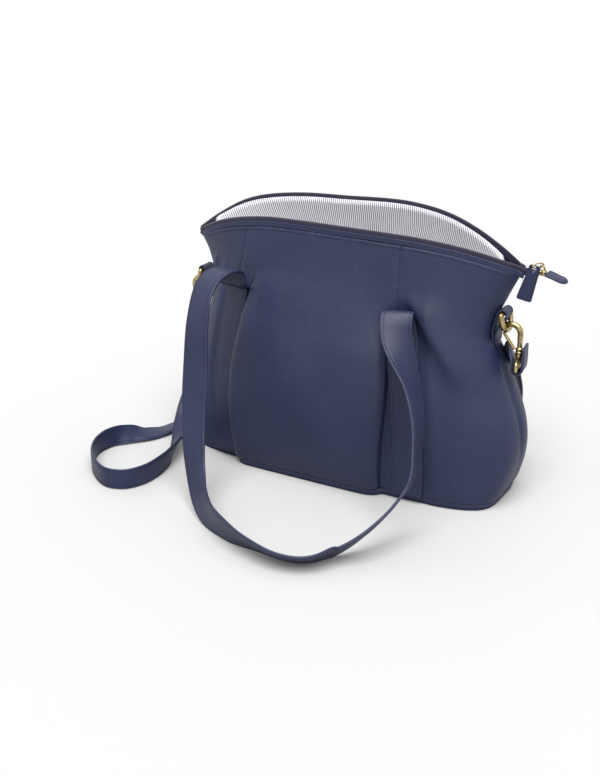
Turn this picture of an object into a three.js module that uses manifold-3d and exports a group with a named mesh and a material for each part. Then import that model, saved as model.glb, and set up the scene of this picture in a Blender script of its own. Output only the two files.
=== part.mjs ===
import * as THREE from "three";
import { mergeVertices } from "three/addons/utils/BufferGeometryUtils.js";
import Module from "manifold-3d";

const wasm = await Module();
wasm.setup();

// Sizes in millimetres. The origin is on the floor under the middle of the bag's base.
// X runs along the bag's width, Y from the front (-) to the back (+), and Z is up.
const GAP = 0.3;
const LEATHER = 2;
const NOMINAL_HEIGHT = 300;
const NECK_HEIGHT = 262;
const BASE_RIM_HEIGHT = 8;
const BAND_HEIGHT = 8.5;
const TAPE = 1.2;
const TAPE_ABOVE_BAND = 6.5;
const TAPE_BELOW_BAND = 5;
const HANDLE_WIDTH = 35;
const HANDLE_THICK = 3.2;
const STRAP_WIDTH = 25;
const STRAP_THICK = 3;
const RING_TAB_WIDTH = 20;
const RING_TAB_THICK = 1.8;
const RING_WIRE = 2.5;
const HOOK_WIRE = 2.5;
const EYE_WIRE = 2.2;
const MOUTH_RIGHT_END = 206;
const MOUTH_LEFT_END = -211;
// The band narrows at its left end: its lower edge stops this much short of its upper edge.
const BAND_TAPER = 7;
const BAND_TAPER_REACH = 60;

// One row for each height of the body, on a scale where the middle of the mouth is at 300.
// left and right are the side seams, front and back the depths of the plain wall in the middle.
// groove is how deep the handles' sewn legs sink into the plain wall.
const BODY = [
  { at: 0, left: -197, right: 197, front: 66, back: 64, groove: 0 },
  { at: 22, left: -208, right: 208, front: 71, back: 68, groove: 3 },
  { at: 60, left: -215, right: 217, front: 76, back: 72, groove: 4 },
  { at: 95, left: -212, right: 215, front: 77, back: 72, groove: 4 },
  { at: 130, left: -204, right: 204, front: 75, back: 70, groove: 4 },
  { at: 165, left: -197, right: 190, front: 72, back: 67, groove: 4 },
  { at: 190, left: -192, right: 176, front: 69, back: 64, groove: 4 },
  { at: 210, left: -188, right: 171, front: 66, back: 61, groove: 4 },
  { at: 256, left: -192, right: 187, front: 55, back: 51, groove: 1 },
  { at: 300, left: -211, right: 204, front: 46, back: 42, groove: 0 },
];
// The powers of the rounded outline before and behind the side seams: 0.4 is boxy, 1 and 1.5 is a lens.
const CORNERS = [
  { at: 0, frontX: 0.42, frontY: 0.42, backX: 0.42, backY: 0.42 },
  { at: 22, frontX: 0.55, frontY: 0.5, backX: 0.52, backY: 0.48 },
  { at: 60, frontX: 0.72, frontY: 0.65, backX: 0.68, backY: 0.62 },
  { at: 95, frontX: 0.8, frontY: 0.75, backX: 0.72, backY: 0.66 },
  { at: 130, frontX: 0.8, frontY: 0.8, backX: 0.68, backY: 0.65 },
  { at: 165, frontX: 0.82, frontY: 0.85, backX: 0.66, backY: 0.67 },
  { at: 190, frontX: 0.86, frontY: 0.9, backX: 0.74, backY: 0.77 },
  { at: 210, frontX: 0.9, frontY: 0.95, backX: 0.86, backY: 0.9 },
  { at: 256, frontX: 0.95, frontY: 1.2, backX: 0.95, backY: 1.2 },
  { at: 300, frontX: 1, frontY: 1.5, backX: 1, backY: 1.5 },
];

// Lines down the walls at each height. The seams join the panels, and the handles' sewn legs cover them
// up to the neck. Between the legs the middle panel swells like a pillow, from its foot on each side,
// which stands right beside the left leg and a finger's width from the right one.
const LINES = [
  { at: 0, seamLeft: -138, seamRight: 112, legLeft: -138, legRight: 112, footLeft: -119, footRight: 73 },
  { at: 60, seamLeft: -137, seamRight: 111, legLeft: -138, legRight: 111.5, footLeft: -119.5, footRight: 76.5 },
  { at: 120, seamLeft: -136, seamRight: 104, legLeft: -138, legRight: 105, footLeft: -119, footRight: 79.5 },
  { at: 165, seamLeft: -133, seamRight: 95, legLeft: -133, legRight: 97.5, footLeft: -113.5, footRight: 79 },
  { at: 225, seamLeft: -130, seamRight: 81, legLeft: -128, legRight: 89, footLeft: -108.5, footRight: 69 },
  { at: 300, seamLeft: -120, seamRight: 78, legLeft: -121, legRight: 84, footLeft: -101, footRight: 64 },
];
// How far the pillow stands out beyond the ground beside it, near its left and its right foot.
const PILLOW = [
  { at: 0, left: 9, right: 8 },
  { at: 22, left: 14, right: 12 },
  { at: 60, left: 17, right: 16 },
  { at: 120, left: 16, right: 16 },
  { at: 165, left: 14, right: 13 },
  { at: 195, left: 12.5, right: 5 },
  { at: 225, left: 9, right: 0.5 },
  { at: 250, left: 2, right: 0 },
  { at: 300, left: 0, right: 0 },
];
// The pillow's edge is a quarter round this wide. Beside a sewn leg the wall lies flat as far as FLAT
// from the leg's middle, then steps up to the plain wall over STEP.
const ROUND = 18;
const FLAT = HANDLE_WIDTH / 2 + 1.5;
const STEP = 13;
// Shares of the quarter round's width at which its columns stand, close together where it is steep.
const ROUND_STOPS = [0, 0.05, 0.29];
// The back swells less than the front. Near a side seam, where the sine of the turn round the outline
// falls below SEAM_FADE, the relief fades out.
const BACK_SHARE = 0.6;
const SEAM_FADE = 0.35;

// Height of the leather edge at the mouth: at each end, and at the crest in between.
const MOUTH = {
  front: { leftEnd: 259, rightEnd: 269, crest: 299, power: 3 },
  back: { leftEnd: 261, rightEnd: 271, crest: 311, power: 2.3 },
};

// Folds of the front right panel. Each runs from one point to another on the front (x and height),
// with its height above the plain wall and its half width.
const FRONT_FOLDS = [
  { fromX: 108, fromUp: 240, toX: 180, toUp: 158, rise: 6, halfWidth: 10 },
  { fromX: 117, fromUp: 203, toX: 154, toUp: 146, rise: -6, halfWidth: 13 },
  { fromX: -196, fromUp: 270, toX: -184, toUp: 236, rise: 3, halfWidth: 5 },
  { fromX: -172, fromUp: 262, toX: -178, toUp: 232, rise: 3, halfWidth: 5 },
];

function clamp01(value) {
  return Math.min(1, Math.max(0, value));
}

function smoothstep(value) {
  const t = clamp01(value);
  return t * t * (3 - 2 * t);
}

// A column of a table at a place between its rows, on a smooth curve through them.
function column(rows, name, at) {
  const last = rows.length - 1;
  const place = Math.min(rows[last].at, Math.max(rows[0].at, at));
  let i = 0;
  while (i < last - 1 && place > rows[i + 1].at) i += 1;
  const slope = (k) => {
    const a = rows[Math.max(0, k - 1)];
    const b = rows[Math.min(last, k + 1)];
    return (b[name] - a[name]) / (b.at - a.at);
  };
  const step = rows[i + 1].at - rows[i].at;
  const t = (place - rows[i].at) / step;
  const t2 = t * t;
  const t3 = t2 * t;
  return (
    (2 * t3 - 3 * t2 + 1) * rows[i][name] +
    (t3 - 2 * t2 + t) * step * slope(i) +
    (3 * t2 - 2 * t3) * rows[i + 1][name] +
    (t3 - t2) * step * slope(i + 1)
  );
}

function signedPower(value, power) {
  return Math.sign(value) * Math.abs(value) ** power;
}

// The section of the body's front or back half at a height on the nominal scale.
function sectionAt(side, up) {
  const left = column(BODY, "left", up);
  const right = column(BODY, "right", up);
  return {
    middle: (left + right) / 2,
    half: (right - left) / 2,
    depth: column(BODY, side, up),
    cornerX: column(CORNERS, `${side}X`, up),
    cornerY: column(CORNERS, `${side}Y`, up),
    groove: column(BODY, "groove", up),
  };
}

function mouthHeight(side, x) {
  const edge = MOUTH[side];
  const end = x < 0 ? edge.leftEnd : edge.rightEnd;
  const reach = x < 0 ? MOUTH_LEFT_END : MOUTH_RIGHT_END;
  return end + (edge.crest - end) * (1 - Math.min(1, x / reach) ** edge.power);
}

// The real height of a place on the nominal scale. Above the neck a row runs level with the mouth's edge,
// and below it the mouth's dip fades out towards the base.
function heightOf(side, x, up) {
  return up + (mouthHeight(side, x) - NOMINAL_HEIGHT) * Math.min(1, up / NECK_HEIGHT) ** 2;
}

// How far a fold lifts the front wall at a point. Shares of its length over which it begins and fades:
const FOLD_START = 0.25;
const FOLD_TAIL = 0.35;

function foldLift(fold, x, up) {
  const alongX = fold.toX - fold.fromX;
  const alongUp = fold.toUp - fold.fromUp;
  const length = Math.hypot(alongX, alongUp);
  const along = ((x - fold.fromX) * alongX + (up - fold.fromUp) * alongUp) / (length * length);
  const off = ((x - fold.fromX) * alongUp - (up - fold.fromUp) * alongX) / length;
  const ends = smoothstep(along / FOLD_START) * smoothstep((1 + FOLD_TAIL / 2 - along) / FOLD_TAIL);
  return fold.rise * ends * Math.exp(-((off / fold.halfWidth) ** 2));
}

// Height of a quarter round over its width, both from 0 to 1.
function quarterRound(share) {
  return Math.sqrt(1 - (1 - clamp01(share)) ** 2);
}

// What is added to the plain depth of the front or the back at x.
function relief(side, section, x, up) {
  const line = (name) => column(LINES, name, up);
  const footLeft = line("footLeft");
  const footRight = line("footRight");
  const share = clamp01((x - footLeft) / (footRight - footLeft));
  const height = column(PILLOW, "left", up) * (1 - share) + column(PILLOW, "right", up) * share;
  const swell = quarterRound((x - footLeft) / ROUND) * quarterRound((footRight - x) / ROUND);
  const besideLeft = smoothstep((x - line("legLeft") + FLAT + STEP) / STEP);
  const besideRight = smoothstep((line("legRight") + FLAT + STEP - x) / STEP);
  const whole = side === "front" ? 1 : BACK_SHARE;
  let lift = whole * (height * swell - section.groove * besideLeft * besideRight);
  if (side === "front") for (const fold of FRONT_FOLDS) lift += foldLift(fold, x, up);
  return lift;
}

// A point of the outer wall. turn is the angle round the outline: 0 at the right side seam, pi at the left.
function wallPoint(side, turn, up) {
  const section = sectionAt(side, up);
  const x = section.middle + section.half * signedPower(Math.cos(turn), section.cornerX);
  const plain = signedPower(Math.sin(turn), section.cornerY);
  const fade = smoothstep(Math.sin(turn) / SEAM_FADE);
  const y = section.depth * plain + fade * relief(side, section, x, up);
  return new THREE.Vector3(x, side === "front" ? -y : y, heightOf(side, x, up));
}

// The angle round the outline at which the wall stands at x.
function turnAt(side, x, up) {
  const section = sectionAt(side, up);
  const share = Math.max(-1, Math.min(1, (x - section.middle) / section.half));
  return Math.acos(signedPower(share, 1 / section.cornerX));
}

// The outward direction of a surface given by two parameters, by differences.
function outward(surface, u, v, inside) {
  const step = 1e-3;
  const alongU = surface(u + step, v).sub(surface(u - step, v));
  const alongV = surface(u, v + step).sub(surface(u, v - step));
  const normal = alongU.cross(alongV).normalize();
  const out = surface(u, v).sub(inside);
  return normal.dot(out) < 0 ? normal.negate() : normal;
}

// A closed geometry from vertices and triangles, turned so that its faces point out.
function closedGeometry(points, faces) {
  let volume = 0;
  for (const [a, b, c] of faces) {
    volume += points[a].dot(points[b].clone().cross(points[c]));
  }
  const geometry = new THREE.BufferGeometry();
  geometry.setAttribute(
    "position",
    new THREE.Float32BufferAttribute(points.flatMap((p) => [p.x, p.y, p.z]), 3),
  );
  geometry.setIndex(faces.flatMap(([a, b, c]) => (volume < 0 ? [a, c, b] : [a, b, c])));
  geometry.computeVertexNormals();
  return geometry;
}

// A sheet of even thickness on a surface of two parameters from 0 to 1.
// keep moves a finished point, to hold it on its own side of a seam.
function sheetGeometry(surface, inside, thickness, columns, rows, keep = (p) => p) {
  const points = [];
  for (const depth of [0, thickness]) {
    for (let j = 0; j <= rows; j += 1) {
      for (let i = 0; i <= columns; i += 1) {
        const u = i / columns;
        const v = j / rows;
        const point = surface(u, v);
        const normal = outward(surface, u, v, inside);
        points.push(keep(point.addScaledVector(normal, -depth)));
      }
    }
  }
  const wide = columns + 1;
  const layer = wide * (rows + 1);
  const faces = [];
  const quad = (a, b, c, d) => faces.push([a, b, c], [a, c, d]);
  for (let j = 0; j < rows; j += 1) {
    for (let i = 0; i < columns; i += 1) {
      const a = j * wide + i;
      quad(a, a + 1, a + wide + 1, a + wide);
      quad(layer + a, layer + a + wide, layer + a + wide + 1, layer + a + 1);
    }
  }
  for (let i = 0; i < columns; i += 1) {
    const top = rows * wide + i;
    quad(i, layer + i, layer + i + 1, i + 1);
    quad(top, top + 1, layer + top + 1, layer + top);
  }
  for (let j = 0; j < rows; j += 1) {
    const start = j * wide;
    const end = start + columns;
    quad(start, start + wide, layer + start + wide, layer + start);
    quad(end, layer + end, layer + end + wide, end + wide);
  }
  return closedGeometry(points, faces);
}

// A body through a list of closed loops with the same number of points. It is capped at both ends,
// or else its last loop is joined to its first, as in a ring.
function loftGeometry(loops, ring = false) {
  const size = loops[0].length;
  const points = loops.flat();
  const faces = [];
  for (let j = 0; j < loops.length - (ring ? 0 : 1); j += 1) {
    const next = ((j + 1) % loops.length) * size;
    for (let i = 0; i < size; i += 1) {
      const k = (i + 1) % size;
      faces.push([j * size + i, j * size + k, next + k], [j * size + i, next + k, next + i]);
    }
  }
  if (ring) return closedGeometry(points, faces);
  for (const [start, flip] of [[0, true], [(loops.length - 1) * size, false]]) {
    const centre = new THREE.Vector3();
    for (let i = 0; i < size; i += 1) centre.addScaledVector(points[start + i], 1 / size);
    const middle = points.push(centre) - 1;
    for (let i = 0; i < size; i += 1) {
      const a = start + i;
      const b = start + ((i + 1) % size);
      faces.push(flip ? [middle, b, a] : [middle, a, b]);
    }
  }
  return closedGeometry(points, faces);
}

function solidOf(geometry) {
  const plain = geometry.clone();
  for (const name of ["normal", "uv"]) plain.deleteAttribute(name);
  const merged = mergeVertices(plain, 1e-3);
  return new wasm.Manifold(
    new wasm.Mesh({
      numProp: 3,
      vertProperties: merged.attributes.position.array,
      triVerts: new Uint32Array(merged.index.array),
    }),
  );
}

// Several closed geometries joined into one.
function joined(geometries) {
  const solid = geometries.map(solidOf).reduce((a, b) => a.add(b));
  const mesh = solid.getMesh();
  const geometry = new THREE.BufferGeometry();
  geometry.setAttribute("position", new THREE.BufferAttribute(mesh.vertProperties, 3));
  geometry.setIndex(new THREE.BufferAttribute(mesh.triVerts, 1));
  geometry.computeVertexNormals();
  return geometry;
}

const bag = new THREE.Group();
const leather = new THREE.MeshStandardMaterial({ color: 0x232a52, roughness: 0.55 });
const strapLeather = new THREE.MeshStandardMaterial({ color: 0x1e2547, roughness: 0.5 });
const liningCloth = new THREE.MeshStandardMaterial({ color: 0xc9c6d1, roughness: 0.9 });
const zipCloth = new THREE.MeshStandardMaterial({ color: 0x2b2a36, roughness: 0.8 });
const brass = new THREE.MeshStandardMaterial({ color: 0x9a8350, roughness: 0.35, metalness: 1 });

function add(name, geometry, material, parent = bag) {
  const mesh = new THREE.Mesh(geometry, material);
  mesh.name = name;
  parent.add(mesh);
  return mesh;
}

// Walls: three panels in front and three behind, joined at the handle seams and the side seams.
const INSIDE = new THREE.Vector3(0, 0, 130);
const PANEL_BOTTOM = BASE_RIM_HEIGHT + GAP;
const PANEL_TOP = NOMINAL_HEIGHT - BAND_HEIGHT - GAP;

function panelUp(v) {
  return PANEL_BOTTOM + v * (PANEL_TOP - PANEL_BOTTOM);
}

// A value that runs through stretches, each with its own number of columns, so that a column stands
// exactly where two stretches meet.
function spread(u, stretches) {
  let place = u * stretches.reduce((sum, stretch) => sum + stretch.columns, 0);
  for (const { from, to, columns } of stretches) {
    if (place <= columns) return from + ((to - from) * place) / columns;
    place -= columns;
  }
  return stretches[stretches.length - 1].to;
}

// Stretches between turns round the outline.
function stretches(turns, counts) {
  return counts.map((columns, i) => ({ from: turns[i], to: turns[i + 1], columns }));
}

function centrePanel(side, counts) {
  return (u, v) => {
    const up = panelUp(v);
    const left = column(LINES, "footLeft", up);
    const right = column(LINES, "footRight", up);
    const start = column(LINES, "seamLeft", up) + GAP / 2;
    const end = column(LINES, "seamRight", up) - GAP / 2;
    const rise = [...ROUND_STOPS, 1].map((share) => left + ROUND * share);
    const fall = [...ROUND_STOPS, 1].map((share) => right - ROUND * share).reverse();
    const stops = [start, ...rise, ...fall, end];
    return wallPoint(side, spread(u, stretches(stops.map((x) => turnAt(side, x, up)), counts)), up);
  };
}

function sidePanel(side, hand, counts) {
  const sign = hand === "right" ? 1 : -1;
  const name = hand === "right" ? "Right" : "Left";
  return (u, v) => {
    const up = panelUp(v);
    const start = column(LINES, `seam${name}`, up) + (sign * GAP) / 2;
    const flat = column(LINES, `leg${name}`, up) + sign * FLAT;
    const end = hand === "right" ? 0 : Math.PI;
    const turns = [start, flat, flat + sign * STEP].map((x) => turnAt(side, x, up)).concat(end);
    return wallPoint(side, spread(u, stretches(turns, counts)), up);
  };
}

// Which half of the bag a point is held on, so that front and back only meet at the side seams.
function keepSide(side) {
  const sign = side === "front" ? -1 : 1;
  return (point) => {
    point.y = sign * Math.max(GAP / 2, sign * point.y);
    return point;
  };
}

const WALL_GRID = {
  front: { centre: [1, 1, 1, 2, 10, 2, 1, 1, 2], sides: [1, 3, 10], rows: 20 },
  back: { centre: [1, 1, 1, 1, 5, 1, 1, 1, 1], sides: [1, 2, 6], rows: 12 },
};
for (const [side, grid] of Object.entries(WALL_GRID)) {
  const keep = keepSide(side);
  const panel = (surface, counts) => {
    const columns = counts.reduce((a, b) => a + b);
    return sheetGeometry(surface, INSIDE, LEATHER, columns, grid.rows, keep);
  };
  add(`${side}_panel_centre`, panel(centrePanel(side, grid.centre), grid.centre), leather);
  for (const hand of ["left", "right"]) {
    add(`${side}_panel_${hand}`, panel(sidePanel(side, hand, grid.sides), grid.sides), leather);
  }
}

// Base: one panel with its edge turned up all round, flat where it stands.
const OUTLINE_STEPS = 16;

// The outline of the body at a height, drawn in by an inset, at z.
function outlineLoop(up, inset, z) {
  const points = [];
  for (const side of ["front", "back"]) {
    const section = sectionAt(side, up);
    const depth = section.depth - inset;
    const sign = side === "front" ? -1 : 1;
    for (let i = 0; i < OUTLINE_STEPS; i += 1) {
      const turn = (Math.PI * i) / OUTLINE_STEPS;
      const swing = side === "front" ? turn : Math.PI - turn;
      const x = section.middle + (section.half - inset) * signedPower(Math.cos(swing), section.cornerX);
      points.push(new THREE.Vector3(x, sign * depth * signedPower(Math.sin(swing), section.cornerY), z));
    }
  }
  return points;
}

const BASE_PROFILE = [
  { inset: 16, z: 3 },
  { inset: 7, z: 3.4 },
  { inset: 3.4, z: 5 },
  { inset: 2.6, z: BASE_RIM_HEIGHT },
  { inset: 0.4, z: BASE_RIM_HEIGHT },
  { inset: 0.8, z: 4 },
  { inset: 3.2, z: 1 },
  { inset: 7, z: 0 },
];
add("base_panel", loftGeometry(BASE_PROFILE.map(({ inset, z }) => outlineLoop(BASE_RIM_HEIGHT, inset, z))), leather);

// Lining: a striped cloth bag inside the walls, sewn on under the zip.
const LINING_ROWS = [
  { at: 16, inset: 11 },
  { at: 60, inset: 13 },
  { at: 120, inset: 14 },
  { at: 200, inset: 13 },
  { at: 240, inset: 9 },
  { at: 275, inset: 5.2 },
  { at: 293.5, inset: 4.6 },
];
const LINING_STEPS = 14;
const LINING_THICK = 0.9;

function liningLoop(up, inset) {
  const points = [];
  for (const side of ["front", "back"]) {
    const section = sectionAt(side, up);
    const { depth } = section;
    const shrink = (depth - inset) / depth;
    const sign = side === "front" ? -1 : 1;
    for (let i = 0; i < LINING_STEPS; i += 1) {
      const turn = (Math.PI * i) / LINING_STEPS;
      const swing = side === "front" ? turn : Math.PI - turn;
      const cosine = signedPower(Math.cos(swing), section.cornerX);
      const x = section.middle + section.half * cosine * shrink;
      const y = sign * depth * shrink * signedPower(Math.sin(swing), section.cornerY);
      points.push(new THREE.Vector3(x, y, heightOf(side, x, up)));
    }
  }
  return points;
}

const liningOuter = LINING_ROWS.map(({ at, inset }) => liningLoop(at, inset));
const liningInner = LINING_ROWS.map(({ at, inset }) => liningLoop(at, inset + LINING_THICK)).reverse();
for (const point of liningInner[LINING_ROWS.length - 1]) point.z += LINING_THICK;
add("lining", loftGeometry([...liningOuter, ...liningInner]), liningCloth);

// Mouth: a narrow leather band along each edge, with half of the zip standing up behind it.
const MOUTH_STEPS = 28;

// A point of the mouth's edge at x, drawn in from the outer face of the wall.
function mouthPoint(side, x, inset, above, least) {
  const section = sectionAt(side, NOMINAL_HEIGHT);
  const share = Math.min(1, Math.abs((x - section.middle) / section.half));
  const y = Math.max(least, section.depth * (1 - share * share) ** (section.cornerY / 2) - inset);
  return new THREE.Vector3(x, side === "front" ? -y : y, mouthHeight(side, x) + above);
}

function mouthStrip(side, fromX, toX, thick, inset, least, below, above) {
  const loops = [];
  for (let i = 0; i <= MOUTH_STEPS; i += 1) {
    const swing = (1 - Math.cos((Math.PI * i) / MOUTH_STEPS)) / 2;
    const x = fromX + (toX - fromX) * swing;
    const taper = (BAND_TAPER * -below) / BAND_HEIGHT;
    const low = x + taper * (1 - smoothstep((x - fromX) / BAND_TAPER_REACH));
    loops.push([
      mouthPoint(side, low, inset, below, least + thick),
      mouthPoint(side, x, inset, above, least + thick),
      mouthPoint(side, x, inset + thick, above, least),
      mouthPoint(side, low, inset + thick, below, least),
    ]);
  }
  return loftGeometry(loops);
}

for (const side of ["front", "back"]) {
  const tapeInset = LEATHER + GAP;
  add(
    `mouth_band_${side}`,
    mouthStrip(side, MOUTH_LEFT_END, MOUTH_RIGHT_END, LEATHER, 0, TAPE + 2 * GAP, -BAND_HEIGHT, 0),
    leather,
  );
  add(
    `zip_tape_${side}`,
    mouthStrip(side, MOUTH_LEFT_END, MOUTH_RIGHT_END, TAPE, tapeInset, GAP / 2, -TAPE_BELOW_BAND, TAPE_ABOVE_BAND),
    zipCloth,
  );
}

// The flat section of a strap with rounded edges, as places across it (a) and through it (b).
// EDGE_ROUND and EDGE_FLAT are shares of its thickness.
const EDGE_ROUND = 0.35;
const EDGE_FLAT = 0.22;

function strapProfile(width, thick) {
  const edge = width / 2;
  const shoulder = edge - thick * EDGE_ROUND;
  const low = thick * EDGE_FLAT;
  const full = thick / 2;
  const face = [-shoulder, 0, shoulder];
  return [
    { a: -edge, b: -low },
    ...face.map((a) => ({ a, b: -full })),
    { a: edge, b: -low },
    { a: edge, b: low },
    ...face.map((a) => ({ a: -a, b: full })),
    { a: -edge, b: low },
  ];
}

// The direction of a strap's width. heading is its compass seen from above, in degrees from +X
// towards +Y, and rise is how steeply it climbs.
function widthOf({ heading, rise }) {
  const turn = THREE.MathUtils.degToRad(heading);
  const tilt = THREE.MathUtils.degToRad(rise);
  return new THREE.Vector3(Math.cos(turn) * Math.cos(tilt), Math.sin(turn) * Math.cos(tilt), Math.sin(tilt));
}

// The loops of a strap on a smooth curve through rows of places, some for each row. None goes
// below the floor that the bag stands on.
const REST_HEIGHT = 0.2;

function strapLoops(rows, profile, stepsPerRow) {
  const curve = new THREE.CatmullRomCurve3(rows.map((row) => new THREE.Vector3(row.x, row.y, row.z)));
  const last = rows.length - 1;
  const loops = [];
  for (let j = 0; j <= last * stepsPerRow; j += 1) {
    const place = j / stepsPerRow;
    const i = Math.min(last - 1, Math.floor(place));
    const centre = curve.getPoint(place / last);
    const along = curve.getTangent(place / last);
    const across = widthOf(rows[i]).lerp(widthOf(rows[i + 1]), smoothstep(place - i));
    across.addScaledVector(along, -across.dot(along)).normalize();
    const through = along.clone().cross(across);
    const loop = profile.map(({ a, b }) =>
      centre.clone().addScaledVector(across, a).addScaledVector(through, b),
    );
    const sunk = Math.max(0, REST_HEIGHT - Math.min(...loop.map((point) => point.z)));
    for (const point of loop) point.z += sunk;
    loops.push(loop);
  }
  return loops;
}

// Handles: one long strap each, sewn flat along both seams and left free as a loop between them.
const SEWN_SHARE = 0.75;
const SEWN_GAP = 0.9;

// The front handle stands out from the bag in an arch, falls to the floor, lies there on its edge and
// climbs again on the right, where it folds over against the wall.
const FRONT_LOOP = [
  { x: -124, y: -69, z: 229, heading: 0, rise: 0 },
  { x: -123, y: -80, z: 241, heading: 0, rise: 0 },
  { x: -122, y: -98, z: 245, heading: -5, rise: 5 },
  { x: -122, y: -118, z: 241, heading: -15, rise: 6 },
  { x: -122, y: -133, z: 225, heading: -22, rise: 3 },
  { x: -121, y: -144, z: 196, heading: -13, rise: 0 },
  { x: -118, y: -154, z: 150, heading: -5, rise: 0 },
  { x: -114, y: -165, z: 113, heading: -6, rise: 3 },
  { x: -105, y: -181, z: 70, heading: -9, rise: 12 },
  { x: -94, y: -194, z: 40, heading: -14, rise: 31 },
  { x: -67, y: -222, z: 20, heading: -13, rise: 59 },
  { x: -24, y: -250, z: 17.6, heading: -100, rise: 77 },
  { x: 22, y: -263, z: 15, heading: -108, rise: 49 },
  { x: 63, y: -266, z: 12, heading: -94, rise: 38 },
  { x: 88, y: -255, z: 11, heading: -83, rise: 33 },
  { x: 105, y: -229, z: 13, heading: -80, rise: 30 },
  { x: 128, y: -205, z: 31, heading: -79, rise: 18 },
  { x: 143, y: -170, z: 52, heading: -79, rise: 8 },
  { x: 151, y: -148, z: 76, heading: -79, rise: 0 },
  { x: 147, y: -130, z: 105, heading: -80, rise: 0 },
  { x: 139, y: -116, z: 132, heading: -82, rise: 0 },
  { x: 126, y: -104, z: 160, heading: -88, rise: 0 },
  { x: 117, y: -99, z: 175, heading: -100, rise: 0 },
  { x: 109, y: -95, z: 188, heading: -125, rise: 0 },
  { x: 99, y: -89, z: 209, heading: -152, rise: 0 },
  { x: 96, y: -83, z: 222, heading: -158, rise: 0 },
  { x: 94, y: -76, z: 229, heading: -162, rise: 0 },
  { x: 92, y: -70, z: 225, heading: -170, rise: 0 },
];

// The back handle lies the same way behind the bag.
const BACK_LOOP = [
  { x: -119, y: 70, z: 231, heading: 0, rise: 0 },
  { x: -119, y: 84, z: 245, heading: 0, rise: 0 },
  { x: -120, y: 102, z: 246, heading: 4, rise: 4 },
  { x: -122, y: 121, z: 228, heading: 12, rise: 3 },
  { x: -122, y: 134, z: 180, heading: 10, rise: 0 },
  { x: -121, y: 144, z: 120, heading: 8, rise: 0 },
  { x: -114, y: 157, z: 66, heading: 10, rise: 8 },
  { x: -98, y: 174, z: 32, heading: 12, rise: 34 },
  { x: -66, y: 199, z: 18.5, heading: 14, rise: 62 },
  { x: -20, y: 219, z: 17.2, heading: 90, rise: 72 },
  { x: 36, y: 222, z: 15, heading: 94, rise: 50 },
  { x: 80, y: 205, z: 14, heading: 100, rise: 44 },
  { x: 108, y: 179, z: 27, heading: 130, rise: 26 },
  { x: 117, y: 160, z: 60, heading: 150, rise: 8 },
  { x: 115, y: 149, z: 112, heading: 162, rise: 0 },
  { x: 107, y: 137, z: 168, heading: 170, rise: 0 },
  { x: 99, y: 120, z: 214, heading: 175, rise: 0 },
  { x: 94, y: 98, z: 238, heading: 180, rise: 0 },
  { x: 92, y: 80, z: 238, heading: 180, rise: 0 },
  { x: 91, y: 70, z: 227, heading: 180, rise: 0 },
];

// One loop of a sewn leg, bent to the wall that it lies on. direction turns its width to + or - X.
function sewnLoop(side, leg, direction, up, profile) {
  const centre = column(LINES, leg, up);
  const surface = (x, v) => wallPoint(side, turnAt(side, x, v), v);
  const facing = side === "front" ? -1 : 1;
  return profile.map(({ a, b }) => {
    const x = centre + direction * a;
    const lift = SEWN_GAP + HANDLE_THICK / 2 + facing * b;
    return surface(x, up).addScaledVector(outward(surface, x, up, INSIDE), lift);
  });
}

function middleOf(loop) {
  const sum = new THREE.Vector3();
  for (const point of loop) sum.addScaledVector(point, 1 / loop.length);
  return sum;
}

function handleGeometry(side, freeRows, stepsPerRow) {
  const profile = strapProfile(HANDLE_WIDTH, HANDLE_THICK);
  const wallRows = WALL_GRID[side].rows;
  const sewnRows = Math.round(wallRows * SEWN_SHARE);
  const leg = (name, direction) => {
    const loops = [];
    for (let j = 0; j <= sewnRows; j += 1) {
      loops.push(sewnLoop(side, name, direction, panelUp(j / wallRows), profile));
    }
    return loops;
  };
  const left = leg("legLeft", 1);
  const right = leg("legRight", -1).reverse();
  const rowAt = (loop, row) => {
    const { x, y, z } = middleOf(loop);
    return { ...row, x, y, z };
  };
  const rows = [
    rowAt(left[sewnRows], freeRows[0]),
    ...freeRows,
    rowAt(right[0], freeRows[freeRows.length - 1]),
  ];
  const free = strapLoops(rows, profile, stepsPerRow).slice(1, -1);
  return loftGeometry([...left, ...free, ...right]);
}

add("handle_front", handleGeometry("front", FRONT_LOOP, 2), strapLeather);
add("handle_back", handleGeometry("back", BACK_LOOP, 2), strapLeather);

// Hardware of the long strap. The table places are those of the right side; the left side is turned
// over across X and moved by its own side's shift and drop, and its hook swings towards the bag.
const SIDES = {
  right: { mirror: 1, shift: 0, drop: 0, swing: 0 },
  left: { mirror: -1, shift: -17, drop: 8, swing: THREE.MathUtils.degToRad(12) },
};
const RING_TOP = { x: 187.5, z: 221.5 };
const RING_LOW = { x: 192, z: 202.5 };
const RING_HALF_WIDTH = 13.2;
const RING_STEPS = 24;
// Powers of the ring's outline: its sides, the slight crown of its bar, and its bow.
const RING_SIDE_POWER = 0.7;
const RING_BAR_CROWN = 0.04;
const RING_BOW_POWER = 0.9;
const WIRE_SIDES = 8;

// A round wire along a path in one plane, with a radius at each of its points.
function wireGeometry(path, radii, normal, ring = false) {
  const last = path.length - 1;
  const loops = path.map((centre, i) => {
    const before = path[ring ? (i + last) % path.length : Math.max(0, i - 1)];
    const after = path[ring ? (i + 1) % path.length : Math.min(last, i + 1)];
    const side = after.clone().sub(before).cross(normal).normalize();
    const radius = Array.isArray(radii) ? radii[i] : radii;
    return Array.from({ length: WIRE_SIDES }, (_, k) => {
      const turn = (2 * Math.PI * k) / WIRE_SIDES;
      return centre
        .clone()
        .addScaledVector(side, radius * Math.cos(turn))
        .addScaledVector(normal, radius * Math.sin(turn));
    });
  });
  return loftGeometry(loops, ring);
}

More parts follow.
